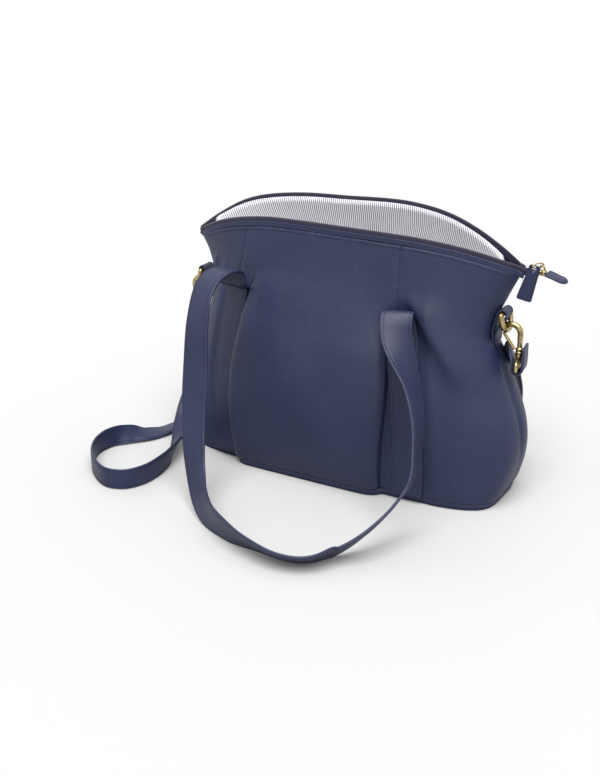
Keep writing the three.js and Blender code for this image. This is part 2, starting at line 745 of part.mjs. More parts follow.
// D ring: a straight bar inside its tab and a bow below it.
function ringGeometry() {
  const up = new THREE.Vector3(RING_TOP.x - RING_LOW.x, 0, RING_TOP.z - RING_LOW.z);
  const path = [];
  for (let i = 0; i < RING_STEPS; i += 1) {
    const turn = (2 * Math.PI * i) / RING_STEPS;
    const sine = Math.abs(Math.sin(turn));
    const y = RING_HALF_WIDTH * signedPower(Math.cos(turn), RING_SIDE_POWER);
    const height = turn < Math.PI ? 1 - RING_BAR_CROWN * (1 - sine) : 1 - sine ** RING_BOW_POWER;
    path.push(new THREE.Vector3(RING_LOW.x, y, RING_LOW.z).addScaledVector(up, height));
  }
  return wireGeometry(path, RING_WIRE, new THREE.Vector3(up.z, 0, -up.x).normalize(), true);
}

// Tab: a narrow leather strip folded over the ring's bar, with both its ends sewn to the side seam.
const TAB_FOLD_RADIUS = 3.9;
const TAB_ROWS = [
  { x: 174.6, z: 190 },
  { x: 177.6, z: 203 },
  ...[162, 135, 108, 81, 54, 27, 0, -22].map((degrees) => {
    const turn = THREE.MathUtils.degToRad(degrees);
    const reach = TAB_FOLD_RADIUS + RING_TAB_THICK / 2;
    return { x: RING_TOP.x + reach * Math.cos(turn), z: RING_TOP.z + reach * Math.sin(turn) };
  }),
  { x: 187.4, z: 211.5 },
  { x: 181.8, z: 204.5 },
  { x: 179.2, z: 197 },
  { x: 176.4, z: 188 },
].map((row) => ({ ...row, y: 0, heading: 90, rise: 0 }));

// Snap hook: a bent wire that ends in a barrel. Its places are measured from the ring's low point.
const HOOK_WIRE_ROWS = [
  { x: -5.7, z: -2.5, radius: HOOK_WIRE * 0.8 },
  { x: -5.5, z: 1, radius: HOOK_WIRE },
  { x: -3.9, z: 4.4, radius: HOOK_WIRE },
  { x: -0.5, z: 6, radius: HOOK_WIRE },
  { x: 6, z: 6.8, radius: HOOK_WIRE },
  { x: 10.6, z: 5, radius: HOOK_WIRE },
  { x: 13.6, z: 1.2, radius: HOOK_WIRE },
  { x: 14.7, z: -4, radius: HOOK_WIRE },
  { x: 14.6, z: -14, radius: HOOK_WIRE },
  { x: 14.5, z: -18.4, radius: HOOK_WIRE },
  { x: 14.5, z: -19.6, radius: 4.3 },
  { x: 14.5, z: -28.6, radius: 4.3 },
  { x: 14.5, z: -29.4, radius: 3.5 },
];
const GATE_WIRE = 1.8;
const GATE_ROWS = [
  { x: -4.6, z: -4.3 },
  { x: 8.4, z: -21.4 },
];
// Swivel eye below the barrel: a loop for the strap, on a short stem.
const EYE = { x: 14.5, top: -32.5, bottom: -42.5, halfWidth: 15.2, corner: 4 };
const STEM = { radius: 2.8, top: -29.7, bottom: -34.5 };
const HOOK_PLANE = new THREE.Vector3(0, 1, 0);

function eyeGeometry() {
  const path = [];
  const middle = (EYE.top + EYE.bottom) / 2;
  const flatY = EYE.halfWidth - EYE.corner;
  const flatZ = (EYE.top - EYE.bottom) / 2 - EYE.corner;
  for (const [signY, signZ, start] of [[1, 1, 0], [-1, 1, 90], [-1, -1, 180], [1, -1, 270]]) {
    for (const degrees of [0, 30, 60, 90]) {
      const turn = THREE.MathUtils.degToRad(start + degrees);
      const y = signY * flatY + EYE.corner * Math.cos(turn);
      const z = middle + signZ * flatZ + EYE.corner * Math.sin(turn);
      path.push(new THREE.Vector3(EYE.x, y, z));
    }
  }
  const loop = wireGeometry(path, EYE_WIRE, new THREE.Vector3(1, 0, 0), true);
  const stemPath = [STEM.top, STEM.bottom].map((z) => new THREE.Vector3(EYE.x, 0, z));
  return joined([loop, wireGeometry(stemPath, STEM.radius, HOOK_PLANE)]);
}

for (const [hand, { mirror, shift, drop, swing }] of Object.entries(SIDES)) {
  const side = new THREE.Group();
  side.scale.x = mirror;
  side.position.set(shift, 0, -drop);
  const hook = new THREE.Group();
  hook.position.set(RING_LOW.x, 0, RING_LOW.z);
  hook.rotation.y = swing;
  side.add(hook);
  bag.add(side);
  const tabProfile = strapProfile(RING_TAB_WIDTH, RING_TAB_THICK);
  add(`ring_tab_${hand}`, loftGeometry(strapLoops(TAB_ROWS, tabProfile, 1)), strapLeather, side);
  add(`ring_${hand}`, ringGeometry(), brass, side);
  const wire = (rows) => rows.map(({ x, z }) => new THREE.Vector3(x, 0, z));
  const radii = HOOK_WIRE_ROWS.map(({ radius }) => radius);
  add(`hook_${hand}`, wireGeometry(wire(HOOK_WIRE_ROWS), radii, HOOK_PLANE), brass, hook);
  add(`hook_gate_${hand}`, wireGeometry(wire(GATE_ROWS), GATE_WIRE, HOOK_PLANE), brass, hook);
  add(`hook_eye_${hand}`, eyeGeometry(), brass, hook);
}

// Long strap: it hangs from the left hook, runs along the floor in a loop beside the bag, passes
// behind the bag and climbs round its shoulder to the right hook. Each end goes round its hook's eye
// and back on itself.
const LONG_STRAP = [
  { x: -210.3, y: 0, z: 118, heading: 90, rise: 0 },
  { x: -210.3, y: 0, z: 135, heading: 90, rise: 0 },
  { x: -210.3, y: 0, z: 150, heading: 90, rise: 0 },
  { x: -211.5, y: 0, z: 152.7, heading: 90, rise: 0 },
  { x: -214.3, y: 0, z: 153.9, heading: 90, rise: 0 },
  { x: -217.1, y: 0, z: 152.7, heading: 90, rise: 0 },
  { x: -218.3, y: 0, z: 150, heading: 90, rise: 0 },
  { x: -218.6, y: 0, z: 125, heading: 90, rise: 0 },
  { x: -219.5, y: 0, z: 92, heading: 88, rise: 0 },
  { x: -222, y: -4, z: 62, heading: 74, rise: 0 },
  { x: -223, y: -24, z: 40, heading: 50, rise: 4 },
  { x: -215, y: -51, z: 24, heading: 22, rise: 14 },
  { x: -203, y: -76, z: 14, heading: 8, rise: 36 },
  { x: -190, y: -102, z: 12.4, heading: 5, rise: 66 },
  { x: -180, y: -128, z: 12.7, heading: 5, rise: 84 },
  { x: -176, y: -156, z: 12.8, heading: 5, rise: 90 },
  { x: -178, y: -182, z: 12.8, heading: 5, rise: 90 },
  { x: -190, y: -203, z: 12.8, heading: 5, rise: 90 },
  { x: -211, y: -209, z: 12.8, heading: 5, rise: 90 },
  { x: -236, y: -197, z: 12.8, heading: 5, rise: 90 },
  { x: -260, y: -174, z: 12.8, heading: 5, rise: 90 },
  { x: -276, y: -144, z: 12.8, heading: 5, rise: 90 },
  { x: -277, y: -116, z: 12.8, heading: 150, rise: 86 },
  { x: -266, y: -92, z: 12.4, heading: 150, rise: 68 },
  { x: -252, y: -68, z: 10, heading: 152, rise: 42 },
  { x: -242, y: -38, z: 8, heading: 160, rise: 28 },
  { x: -236, y: -4, z: 9, heading: 170, rise: 36 },
  { x: -230, y: 34, z: 12, heading: 170, rise: 62 },
  { x: -214, y: 72, z: 12.7, heading: 165, rise: 84 },
  { x: -180, y: 97, z: 12.8, heading: 120, rise: 90 },
  { x: -120, y: 106, z: 12.8, heading: 90, rise: 90 },
  { x: -40, y: 110, z: 12.8, heading: 90, rise: 90 },
  { x: 40, y: 112, z: 12.8, heading: 90, rise: 90 },
  { x: 104, y: 116, z: 12.8, heading: 60, rise: 84 },
  { x: 146, y: 114, z: 24, heading: 45, rise: 50 },
  { x: 164, y: 103, z: 52, heading: 40, rise: 16 },
  { x: 171, y: 87, z: 92, heading: 36, rise: -6 },
  { x: 174, y: 66, z: 127, heading: 40, rise: -36 },
  { x: 180, y: 48, z: 153, heading: 52, rise: -58 },
  { x: 185, y: 36, z: 163, heading: 66, rise: -56 },
  { x: 189.5, y: 24, z: 169.5, heading: 88, rise: -44 },
  { x: 194, y: 13, z: 172.5, heading: 100, rise: -26 },
  { x: 198.3, y: 5, z: 171, heading: 102, rise: -8 },
  { x: 200.8, y: 1, z: 167.5, heading: 94, rise: 0 },
  { x: 201.8, y: 0, z: 163.5, heading: 90, rise: 0 },
  { x: 202, y: 0, z: 160, heading: 90, rise: 0 },
  { x: 203.3, y: 0, z: 156.8, heading: 90, rise: 0 },
  { x: 206.5, y: 0, z: 155.5, heading: 90, rise: 0 },
  { x: 209.7, y: 0, z: 156.8, heading: 90, rise: 0 },
  { x: 211, y: 0, z: 160, heading: 90, rise: 0 },
  { x: 211.2, y: 0, z: 166, heading: 90, rise: 0 },
  { x: 212.3, y: 0, z: 173, heading: 90, rise: 0 },
  { x: 212.8, y: 0, z: 185, heading: 90, rise: 0 },
];
const strapLine = strapProfile(STRAP_WIDTH, STRAP_THICK);
add("long_strap", loftGeometry(strapLoops(LONG_STRAP, strapLine, 2)), strapLeather);

// The zip's right end, beyond the mouth: its joined tail, the slider with a bridge, a link through the
// bridge, the leather pull that hangs from the link, and a stiff end tab.
const TAIL_ROWS = [
  { x: MOUTH_RIGHT_END + GAP, z: 270.5, height: 9, depth: 2.4 },
  { x: 213, z: 272, height: 5, depth: 5 },
  { x: 220.7, z: 272, height: 2.4, depth: 7 },
];
const SLIDER = { fromX: 221, toX: 230, z: 272, height: 6, depth: 7.6 };
const BRIDGE_ROWS = [
  { x: 222.4, z: 274 },
  { x: 222.6, z: 277.4 },
  { x: 224, z: 279.2 },
  { x: 226.6, z: 279.2 },
  { x: 228, z: 277.4 },
  { x: 228.2, z: 274 },
];
const BRIDGE_WIRE = 0.9;
const LINK = {
  x: 222.4,
  y: -4.3,
  z: 280.2,
  heading: -124,
  halfLength: 8.5,
  halfHeight: 3.6,
  wire: 0.8,
  steps: 18,
  pullTurn: -50,
};
const PULL = { heading: -6, lean: -18, length: 39, topWidth: 12, bottomWidth: 17, thick: 2.2 };
const PULL_HOLE = { radius: 2.4, belowTop: 3.2, steps: 12 };
const PULL_CORNER = 2;
const PULL_FOOT = 5;
const END_TAB = { fromX: 230.3, toX: 255, topZ: 272.5, slope: 0.3, width: 17, thick: 3.2 };

const BLOCK_BEVEL = 0.25;

function blockLoop({ x, z, height, depth }) {
  const cut = Math.min(height, depth) * BLOCK_BEVEL;
  const y = depth / 2;
  const up = height / 2;
  return [
    [-y, -up + cut], [-y + cut, -up], [y - cut, -up], [y, -up + cut],
    [y, up - cut], [y - cut, up], [-y + cut, up], [-y, up - cut],
  ].map(([a, b]) => new THREE.Vector3(x, a, z + b));
}

add("zip_tail", loftGeometry(TAIL_ROWS.map(blockLoop)), zipCloth);

const sliderBody = loftGeometry([SLIDER.fromX, SLIDER.toX].map((x) => blockLoop({ ...SLIDER, x })));
const bridgePath = BRIDGE_ROWS.map(({ x, z }) => new THREE.Vector3(x, 0, z));
add("zip_slider", joined([sliderBody, wireGeometry(bridgePath, BRIDGE_WIRE, HOOK_PLANE)]), brass);

// A point of the link, an upright oval that goes under the bridge and through the pull's hole.
function linkPoint(turn) {
  const reach = widthOf({ heading: LINK.heading, rise: 0 }).multiplyScalar(LINK.halfLength * Math.cos(turn));
  return reach.add(new THREE.Vector3(LINK.x, LINK.y, LINK.z + LINK.halfHeight * Math.sin(turn)));
}
const linkPath = Array.from({ length: LINK.steps }, (_, i) => linkPoint((2 * Math.PI * i) / LINK.steps));
const linkNormal = widthOf({ heading: LINK.heading + 90, rise: 0 });
add("zip_link", wireGeometry(linkPath, LINK.wire, linkNormal, true), brass);

// The pull's outline has its hole at the origin, so that it hangs from there.
function pullGeometry() {
  const half = PULL.topWidth / 2;
  const wide = PULL.bottomWidth / 2;
  const top = PULL_HOLE.belowTop;
  const low = top - PULL.length;
  const outline = new THREE.Shape();
  outline.moveTo(PULL_CORNER - half, top);
  outline.lineTo(-half, top - PULL_CORNER);
  outline.lineTo(-wide, low + PULL_FOOT);
  outline.quadraticCurveTo(-wide, low, 0, low);
  outline.quadraticCurveTo(wide, low, wide, low + PULL_FOOT);
  outline.lineTo(half, top - PULL_CORNER);
  outline.lineTo(half - PULL_CORNER, top);
  const rim = Array.from({ length: PULL_HOLE.steps }, (_, i) => {
    const turn = (-2 * Math.PI * i) / PULL_HOLE.steps;
    return new THREE.Vector2(PULL_HOLE.radius * Math.cos(turn), PULL_HOLE.radius * Math.sin(turn));
  });
  outline.holes.push(new THREE.Path(rim));
  const plate = new THREE.ExtrudeGeometry(outline, { depth: PULL.thick, bevelEnabled: false, curveSegments: 6 });
  plate.translate(0, 0, -PULL.thick / 2);
  plate.rotateZ(THREE.MathUtils.degToRad(PULL.lean));
  plate.rotateX(Math.PI / 2);
  return plate;
}
const pull = add("zip_pull", pullGeometry(), strapLeather);
pull.position.copy(linkPoint(THREE.MathUtils.degToRad(LINK.pullTurn)));
pull.rotation.z = THREE.MathUtils.degToRad(PULL.heading);

function endTabGeometry() {
  const half = END_TAB.width / 2;
  const length = END_TAB.toX - END_TAB.fromX;
  const outline = new THREE.Shape();
  outline.moveTo(0, -half);
  outline.lineTo(length - half, -half);
  outline.absarc(length - half, 0, half, -Math.PI / 2, Math.PI / 2, false);
  outline.lineTo(0, half);
  outline.closePath();
  return new THREE.ExtrudeGeometry(outline, { depth: END_TAB.thick, bevelEnabled: false, curveSegments: 10 });
}
const endTab = add("zip_end_tab", endTabGeometry(), strapLeather);
endTab.position.set(END_TAB.fromX, 0, END_TAB.topZ - END_TAB.thick / 2);
endTab.rotation.y = END_TAB.slope;

export default bag;
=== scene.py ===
import bpy
import numpy as np
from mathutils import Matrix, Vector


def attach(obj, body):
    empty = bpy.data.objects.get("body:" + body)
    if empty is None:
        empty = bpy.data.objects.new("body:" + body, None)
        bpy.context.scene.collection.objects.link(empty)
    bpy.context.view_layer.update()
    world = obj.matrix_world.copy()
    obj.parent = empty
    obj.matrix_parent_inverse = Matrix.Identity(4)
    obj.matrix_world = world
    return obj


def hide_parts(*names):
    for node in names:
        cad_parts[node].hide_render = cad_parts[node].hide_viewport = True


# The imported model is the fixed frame. The camera stands in front on the right, above the bag's mouth,
# and looks down at it, as the photograph does.
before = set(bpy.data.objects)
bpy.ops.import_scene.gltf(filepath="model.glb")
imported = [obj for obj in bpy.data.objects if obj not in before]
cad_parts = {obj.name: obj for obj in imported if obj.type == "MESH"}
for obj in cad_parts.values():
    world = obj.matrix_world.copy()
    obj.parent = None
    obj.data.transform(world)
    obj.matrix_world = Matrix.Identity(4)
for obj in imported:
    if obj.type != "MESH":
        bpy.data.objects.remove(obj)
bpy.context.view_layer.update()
SCENE = bpy.context.scene
LOOKS_DOWN = 22
STANDS_ROUND = 30
camera_data = bpy.data.cameras.new("Camera")
camera_data.sensor_width = 36
camera_data.lens = 57.99
camera = bpy.data.objects.new("Camera", camera_data)
camera.location = (0.6411, -1.2334, 0.6555)
camera.rotation_euler = (np.radians(90 - LOOKS_DOWN), 0, np.radians(STANDS_ROUND))
SCENE.collection.objects.link(camera)
SCENE.camera = camera
SCENE.view_settings.view_transform = "Standard"

# Studio: a plain pale floor without an edge in view, a white surround that fills the shadows, and one
# large soft light from high in front, a little to the right.
MM = 0.001
FLOOR_REACH = 20
FLOOR_BELOW = 0.4
FLOOR_GREY = (0.37, 0.37, 0.37, 1)
SURROUND_STRENGTH = 1.2


def soft_light(name, direction, strength, spread):
    """A far, wide light that shines from a direction, with a spread in degrees that softens its shadows."""
    data = bpy.data.lights.new(name, "SUN")
    data.energy = strength
    data.angle = np.radians(spread)
    lamp = bpy.data.objects.new(name, data)
    lamp.rotation_euler = Vector(direction).to_track_quat("Z", "Y").to_euler()
    SCENE.collection.objects.link(lamp)


def build_mesh(name, points, faces, triangles=None, uv=None, edge=None):
    """A smooth mesh from points in millimetres (n, 3), faces of four corners (m, 4) and triangles (k, 3).
    uv gives the corners' places on the cloth in millimetres, and edge each point's nearness to an edge."""
    starts = np.arange(0, faces.size, 4)
    order = faces.ravel()
    if triangles is not None:
        starts = np.concatenate([starts, faces.size + np.arange(0, triangles.size, 3)])
        order = np.concatenate([order, triangles.ravel()])
    mesh = bpy.data.meshes.new(name)
    mesh.vertices.add(len(points))
    mesh.vertices.foreach_set("co", (points * MM).astype(np.float32).ravel())
    mesh.loops.add(len(order))
    mesh.loops.foreach_set("vertex_index", order.astype(np.int32))
    mesh.polygons.add(len(starts))
    mesh.polygons.foreach_set("loop_start", starts.astype(np.int32))
    mesh.polygons.foreach_set("use_smooth", np.ones(len(starts), bool))
    mesh.update(calc_edges=True)
    if uv is not None:
        layer = mesh.uv_layers.new(name="Cloth")
        layer.uv.foreach_set("vector", uv[order].astype(np.float32).ravel())
    near = mesh.attributes.new("edge", "FLOAT", "POINT")
    near.data.foreach_set("value", np.zeros(len(points), np.float32) if edge is None else edge)
    piece = bpy.data.objects.new(name, mesh)
    SCENE.collection.objects.link(piece)
    return piece


def new_finish(name, roughness, metallic=0.0):
    """A material with its Principled shader and its Object coordinates."""
    material = bpy.data.materials.new(name)
    material.use_nodes = True
    tree = material.node_tree
    shader = tree.nodes["Principled BSDF"]
    shader.inputs["Roughness"].default_value = roughness
    shader.inputs["Metallic"].default_value = metallic
    shader.inputs["Specular IOR Level"].default_value = 0.32
    place = tree.nodes.new("ShaderNodeTexCoord").outputs["Object"]
    return material, tree, shader, place


corners = np.array([[-1, -1, 0], [1, -1, 0], [1, 1, 0], [-1, 1, 0]]) * FLOOR_REACH / MM
floor = build_mesh("floor", corners - [0, 0, FLOOR_BELOW], np.array([[0, 1, 2, 3]]))
floor_finish, _, floor_shader, _ = new_finish("floor", 0.7)
floor_shader.inputs["Base Color"].default_value = FLOOR_GREY
floor.data.materials.append(floor_finish)
world = bpy.data.worlds.new("Studio")
world.use_nodes = True
surround = world.node_tree.nodes["Background"]
surround.inputs["Color"].default_value = (1, 1, 1, 1)
surround.inputs["Strength"].default_value = SURROUND_STRENGTH
SCENE.world = world
soft_light("Key", direction=(0.3, -0.55, 1.2), strength=5.2, spread=50)

# Wall panels: three pieces of soft navy leather in front and three behind, sewn edge to edge along
# the handle seams and the side seams. The middle one swells like a pillow between the handles' legs.
LEATHER = 1.8
SEAM_GAP = 0.3
NOMINAL_HEIGHT = 300
NECK_HEIGHT = 262
BASE_RIM_HEIGHT = 8
MOUTH_BAND = 6.3
MOUTH_RIGHT_END = 206
MOUTH_LEFT_END = -211
HANDLE_WIDTH = 35
FACING = {"front": -1, "back": 1}
# Across: the pillow's rounded flank, the flat strip under half a handle, and the step down to it.
PILLOW_ROUND = 18
LEG_FLAT = HANDLE_WIDTH / 2 + 1.5
GROOVE_STEP = 13
# The relief behind is weaker than in front, and it fades out over this sine of the turn at a side seam.
BACK_SHARE = 0.6
SEAM_FADE = 0.35
# From this height up the pillow's round flanks pass into soft ones, this many flanks wide. The lean over
# the feet fades out within its own reach, in flanks too.
SOFT_FROM = 185
SOFT_REACH = 50
SOFT_FLANK = 1.6
LEAN_REACH = 2.2
# Depth and half width of the line where two panels meet.
SEAM_SINK = 1.1
SEAM_WIDTH = 2.4
# The turned top edge and the stitched line under it: rise or sink, place below the top and half width.
TURNED_EDGE = {"rise": 0.9, "below": 1.2, "width": 1.6}
STITCHED_LINE = {"sink": 0.5, "below": 3.4, "width": 1.3}
# The side seam pulls the wall in, a little everywhere and more from the belly to the waist.
SIDE_SEAM = {"from": 40, "eases_in": 50, "to": 185, "eases_out": 40}
PINCH = {"least": 0.4, "more": 2.8, "width": 5}


def named_rows(names, rows):
    """A table as a dictionary of columns."""
    return dict(zip(names.split(), np.array(rows, float).T))


def rows_of(table):
    """The table's rows again, each with its values in the order of the columns."""
    return zip(*table.values())


BODY = named_rows("at left right front back groove", [
    (0, -197, 197, 66, 64, 0),
    (22, -208, 208, 71, 68, 3),
    (60, -215, 217, 76, 72, 4),
    (95, -212, 215, 77, 72, 4),
    (130, -204, 204, 75, 70, 4),
    (165, -197, 191, 72, 67, 4),
    (190, -192, 179.5, 69, 64, 4),
    (210, -188, 175, 66, 61, 4),
    (256, -192, 187, 55, 51, 1),
    (300, -211, 204, 46, 42, 0),
])
# Powers of the rounded outline before and behind the side seams: 0.4 is boxy, 1 and 1.5 is a lens.
CORNERS = named_rows("at front_x front_y back_x back_y", [
    (0, 0.42, 0.42, 0.42, 0.42),
    (22, 0.55, 0.5, 0.52, 0.48),
    (60, 0.72, 0.65, 0.68, 0.62),
    (95, 0.8, 0.75, 0.72, 0.66),
    (130, 0.8, 0.8, 0.68, 0.65),
    (165, 0.82, 0.85, 0.66, 0.67),
    (190, 0.86, 0.9, 0.74, 0.77),
    (210, 0.9, 0.95, 0.86, 0.9),
    (256, 0.95, 1.2, 0.95, 1.2),
    (300, 1, 1.5, 1, 1.5),
])
# Seams, middles of the sewn legs and feet of the pillow, as places along X at each height.
LINES = named_rows("at seam_left seam_right leg_left leg_right foot_left foot_right", [
    (0, -138, 109, -138, 109, -119, 73),
    (60, -137, 108, -138, 108.5, -119.5, 76.5),
    (120, -136, 102, -138, 102, -119, 79),
    (165, -133, 94, -133, 94.5, -113.5, 76.5),
    (225, -130, 81, -128, 86.5, -108.5, 66.5),
    (300, -120, 78, -121, 84, -101, 64),
])
# Height of the pillow near each foot, and how far its flank hangs over the foot.
PILLOW = named_rows("at left right over_left over_right", [
    (0, 12, 10, 5, 2),
    (22, 16, 14, 8, 4),
    (60, 19, 17, 12, 7),
    (120, 18, 17, 13, 8),
    (165, 15.5, 13, 11, 6),
    (195, 13, 5, 8, 2),
    (225, 9, 0.5, 4, 0),
    (250, 2, 0, 0, 0),
    (300, 0, 0, 0, 0),
])
# Height of the leather edge at the mouth, along X.
MOUTH = {
    "front": named_rows("at height", [
        (MOUTH_LEFT_END, 259),
        (-180, 274),
        (-150, 284.5),
        (-120, 291.5),
        (-80, 297),
        (0, 299),
        (80, 297),
        (120, 293),
        (150, 287.5),
        (180, 279),
        (MOUTH_RIGHT_END, 269),
    ]),
    "back": named_rows("at height", [
        (MOUTH_LEFT_END, 261),
        (-190, 278),
        (-160, 296),
        (-130, 305),
        (-85, 310.5),
        (-30, 312.5),
        (40, 316),
        (80, 314),
        (110, 309),
        (140, 300),
        (170, 288),
        (MOUTH_RIGHT_END, 272),
    ]),
}
# Folds of the front wall, from one place (x, height) to another. Each is a ridge with a half width on
# either side, and beyond its near side the leather sinks in a trough that fades over its reach.
FOLDS = named_rows("from_x from_up to_x to_up rise near_width far_width trough reach", [
    (90, 246, 166, 154, 6, 12, 24, 7, 40),
    (-200, 276, -186, 236, 4, 4, 5, 0, 10),
    (-174, 268, -180, 232, 3.5, 4, 5, 1, 10),
])
# Shares of a fold's length over which it eases in and out, and its spread at its first and last place.
FOLD_ENDS = {"eases_in": 0.3, "to": 1.25, "eases_out": 0.7}
FOLD_SPREAD = (0.6, 1.5)


def clamp01(value):
    """The value held between 0 and 1."""
    return np.clip(value, 0, 1)


def smoothstep(value):
    """0 below 0, 1 above 1 and a smooth step between."""
    held = clamp01(value)
    return held * held * (3 - 2 * held)


def bell(value, width):
    """1 at 0 with a bell-shaped fall on both sides, to about a third at the width."""
    return np.exp(-((value / width) ** 2))


def cubic_weights(t):
    """Weights of a cubic's start, its slope there, its end and its slope there, as t goes from 0 to 1."""
    return 2 * t**3 - 3 * t**2 + 1, t**3 - 2 * t**2 + t, 3 * t**2 - 2 * t**3, t**3 - t**2


def column(table, name, at):
    """A column at places between its rows: a cubic through the rows, with slopes from the neighbours."""
    rows = table["at"]
    values = table[name]
    last = len(rows) - 1
    place = np.clip(at, rows[0], rows[last])
    low = np.clip(np.searchsorted(rows, place, side="left") - 1, 0, last - 1)
    before = np.maximum(0, np.arange(last + 1) - 1)
    after = np.minimum(last, np.arange(last + 1) + 1)
    slope = (values[after] - values[before]) / (rows[after] - rows[before])
    step = rows[low + 1] - rows[low]
    by_start, by_first_slope, by_end, by_last_slope = cubic_weights((place - rows[low]) / step)
    start = by_start * values[low] + by_first_slope * step * slope[low]
    end = by_end * values[low + 1] + by_last_slope * step * slope[low + 1]
    return start + end


def signed_power(value, power):
    """The value's size raised to a power, with its sign kept."""
    return np.sign(value) * np.abs(value) ** power


def section(side, up):
    """Middle, half width, depth and corner powers of the body's outline at a height."""
    left = column(BODY, "left", up)
    right = column(BODY, "right", up)
    depth = column(BODY, side, up)
    powers = (column(CORNERS, f"{side}_x", up), column(CORNERS, f"{side}_y", up))
    return (left + right) / 2, (right - left) / 2, depth, *powers


def mouth_height(side, x):
    """Height of the mouth's edge at x: a crest in the middle that falls to each end."""
    return column(MOUTH[side], "height", x)


def height_of(side, x, up):
    """Real height of a place on the scale where the mouth's middle is at 300: the mouth's dip fades
    out below the neck."""
    return up + (mouth_height(side, x) - NOMINAL_HEIGHT) * np.minimum(1, up / NECK_HEIGHT) ** 2


def fold_lift(table, x, up):
    """Sum of the folds: each a bell across its line, narrower on its near side, less a trough that
    begins there and fades over its reach. It widens along the line, and eases in and out at its ends."""
    lift = np.zeros(np.broadcast(x, up).shape)
    for x0, up0, x1, up1, rise, near, far, trough, reach in rows_of(table):
        length = np.hypot(x1 - x0, up1 - up0)
        along = ((x - x0) * (x1 - x0) + (up - up0) * (up1 - up0)) / length**2
        off = ((x - x0) * (up1 - up0) - (up - up0) * (x1 - x0)) / length
        ends = smoothstep(along / FOLD_ENDS["eases_in"]) \
            * smoothstep((FOLD_ENDS["to"] - along) / FOLD_ENDS["eases_out"])
        spread = FOLD_SPREAD[0] + (FOLD_SPREAD[1] - FOLD_SPREAD[0]) * clamp01(along)
        ridge = bell(off, spread * np.where(off > 0, near, far))
        sunk = (off > 0) * (1 - bell(off, spread * near)) * bell(off, reach)
        lift += ends * (rise * ridge - trough * sunk)
    return lift


def quarter_round(share):
    """Height of a quarter circle over its width, both from 0 to 1."""
    return np.sqrt(np.maximum(0, 1 - (1 - clamp01(share)) ** 2))


# Soft unevenness of real leather: long low waves that no two panels share.
WAVES = named_rows("along_x along_up turn rise", [
    (0.021, 0.017, 0.4, 0.7),
    (-0.034, 0.026, 1.9, 0.5),
    (0.012, -0.043, 3.1, 0.6),
    (0.061, 0.038, 5.2, 0.22),
    (-0.047, 0.072, 2.6, 0.2),
])
WAVES_FADE = 30


def unevenness(x, up):
    """Sum of a few long sine waves that run across the wall, each in its own direction."""
    lift = np.zeros(np.broadcast(x, up).shape)
    for wave_x, wave_up, turn, rise in rows_of(WAVES):
        lift += rise * np.sin(wave_x * x + wave_up * up + turn)
    return lift


def relief(side, x, up, detail):
    """What is added to the wall's plain depth, and how far the pillow's flanks lean over their feet. The
    pillow rises in a quarter circle from each foot, the grooves beside it step down under the legs, and
    bells make the seams and the stitched top edge. detail is 1 for the panels and 0 for what is sewn on
    them, which bridges their seams."""
    line = {name: column(LINES, name, up) for name in LINES if name != "at"}
    share = clamp01((x - line["foot_left"]) / (line["foot_right"] - line["foot_left"]))
    height = column(PILLOW, "left", up) * (1 - share) + column(PILLOW, "right", up) * share
    rise = (x - line["foot_left"]) / PILLOW_ROUND
    fall = (line["foot_right"] - x) / PILLOW_ROUND
    soft = smoothstep((up - SOFT_FROM) / SOFT_REACH)
    swell = (quarter_round(rise) * quarter_round(fall) * (1 - soft)
             + smoothstep(rise / SOFT_FLANK) * smoothstep(fall / SOFT_FLANK) * soft)
    beside_left = smoothstep((x - line["leg_left"] + LEG_FLAT + GROOVE_STEP) / GROOVE_STEP)
    beside_right = smoothstep((line["leg_right"] + LEG_FLAT + GROOVE_STEP - x) / GROOVE_STEP)
    whole = 1 if side == "front" else BACK_SHARE
    lift = whole * (height * swell - column(BODY, "groove", up) * beside_left * beside_right)
    if side == "front":
        lift = lift + fold_lift(FOLDS, x, up)
    lean = column(PILLOW, "over_right", up) * quarter_round(fall) * (1 - smoothstep(fall / LEAN_REACH))
    lean = lean - column(PILLOW, "over_left", up) * quarter_round(rise) * (1 - smoothstep(rise / LEAN_REACH))
    seams = bell(x - line["seam_left"], SEAM_WIDTH) + bell(x - line["seam_right"], SEAM_WIDTH)
    below = NOMINAL_HEIGHT - MOUTH_BAND - up
    edge = TURNED_EDGE["rise"] * bell(below - TURNED_EDGE["below"], TURNED_EDGE["width"])
    sewing = STITCHED_LINE["sink"] * bell(below - STITCHED_LINE["below"], STITCHED_LINE["width"])
    lift = lift + unevenness(x, up) * smoothstep(up / WAVES_FADE)
    return lift + detail * (edge - sewing - SEAM_SINK * seams), detail * whole * lean


def wall(side, turn, up, detail=1):
    """Points of the outer wall. turn runs round the outline from 0 at the right seam to pi at the left:
    x and y are powers of its cosine and sine, the relief is added to y, fading at the seams, and the side
    seams pull x in."""
    middle, half, depth, corner_x, corner_y = section(side, up)
    x = middle + half * signed_power(np.cos(turn), corner_x)
    plain = signed_power(np.sin(turn), corner_y)
    lift, lean = relief(side, x, up, detail)
    fade = smoothstep(np.sin(turn) / SEAM_FADE)
    y = depth * plain + fade * lift
    from_below = smoothstep((up - SIDE_SEAM["from"]) / SIDE_SEAM["eases_in"])
    from_above = smoothstep((SIDE_SEAM["to"] - up) / SIDE_SEAM["eases_out"])
    pull = PINCH["least"] + PINCH["more"] * from_below * from_above
    pinch = np.sign(np.cos(turn)) * pull * bell(y, PINCH["width"])
    return np.stack([x + lean - pinch, FACING[side] * y, height_of(side, x, up)], -1)


def turn_at(side, x, up):
    """The turn round the outline at which the wall stands at x."""
    middle, half, _, corner_x, _ = section(side, up)
    share = np.clip((x - middle) / half, -1, 1)
    return np.arccos(signed_power(share, 1 / corner_x))


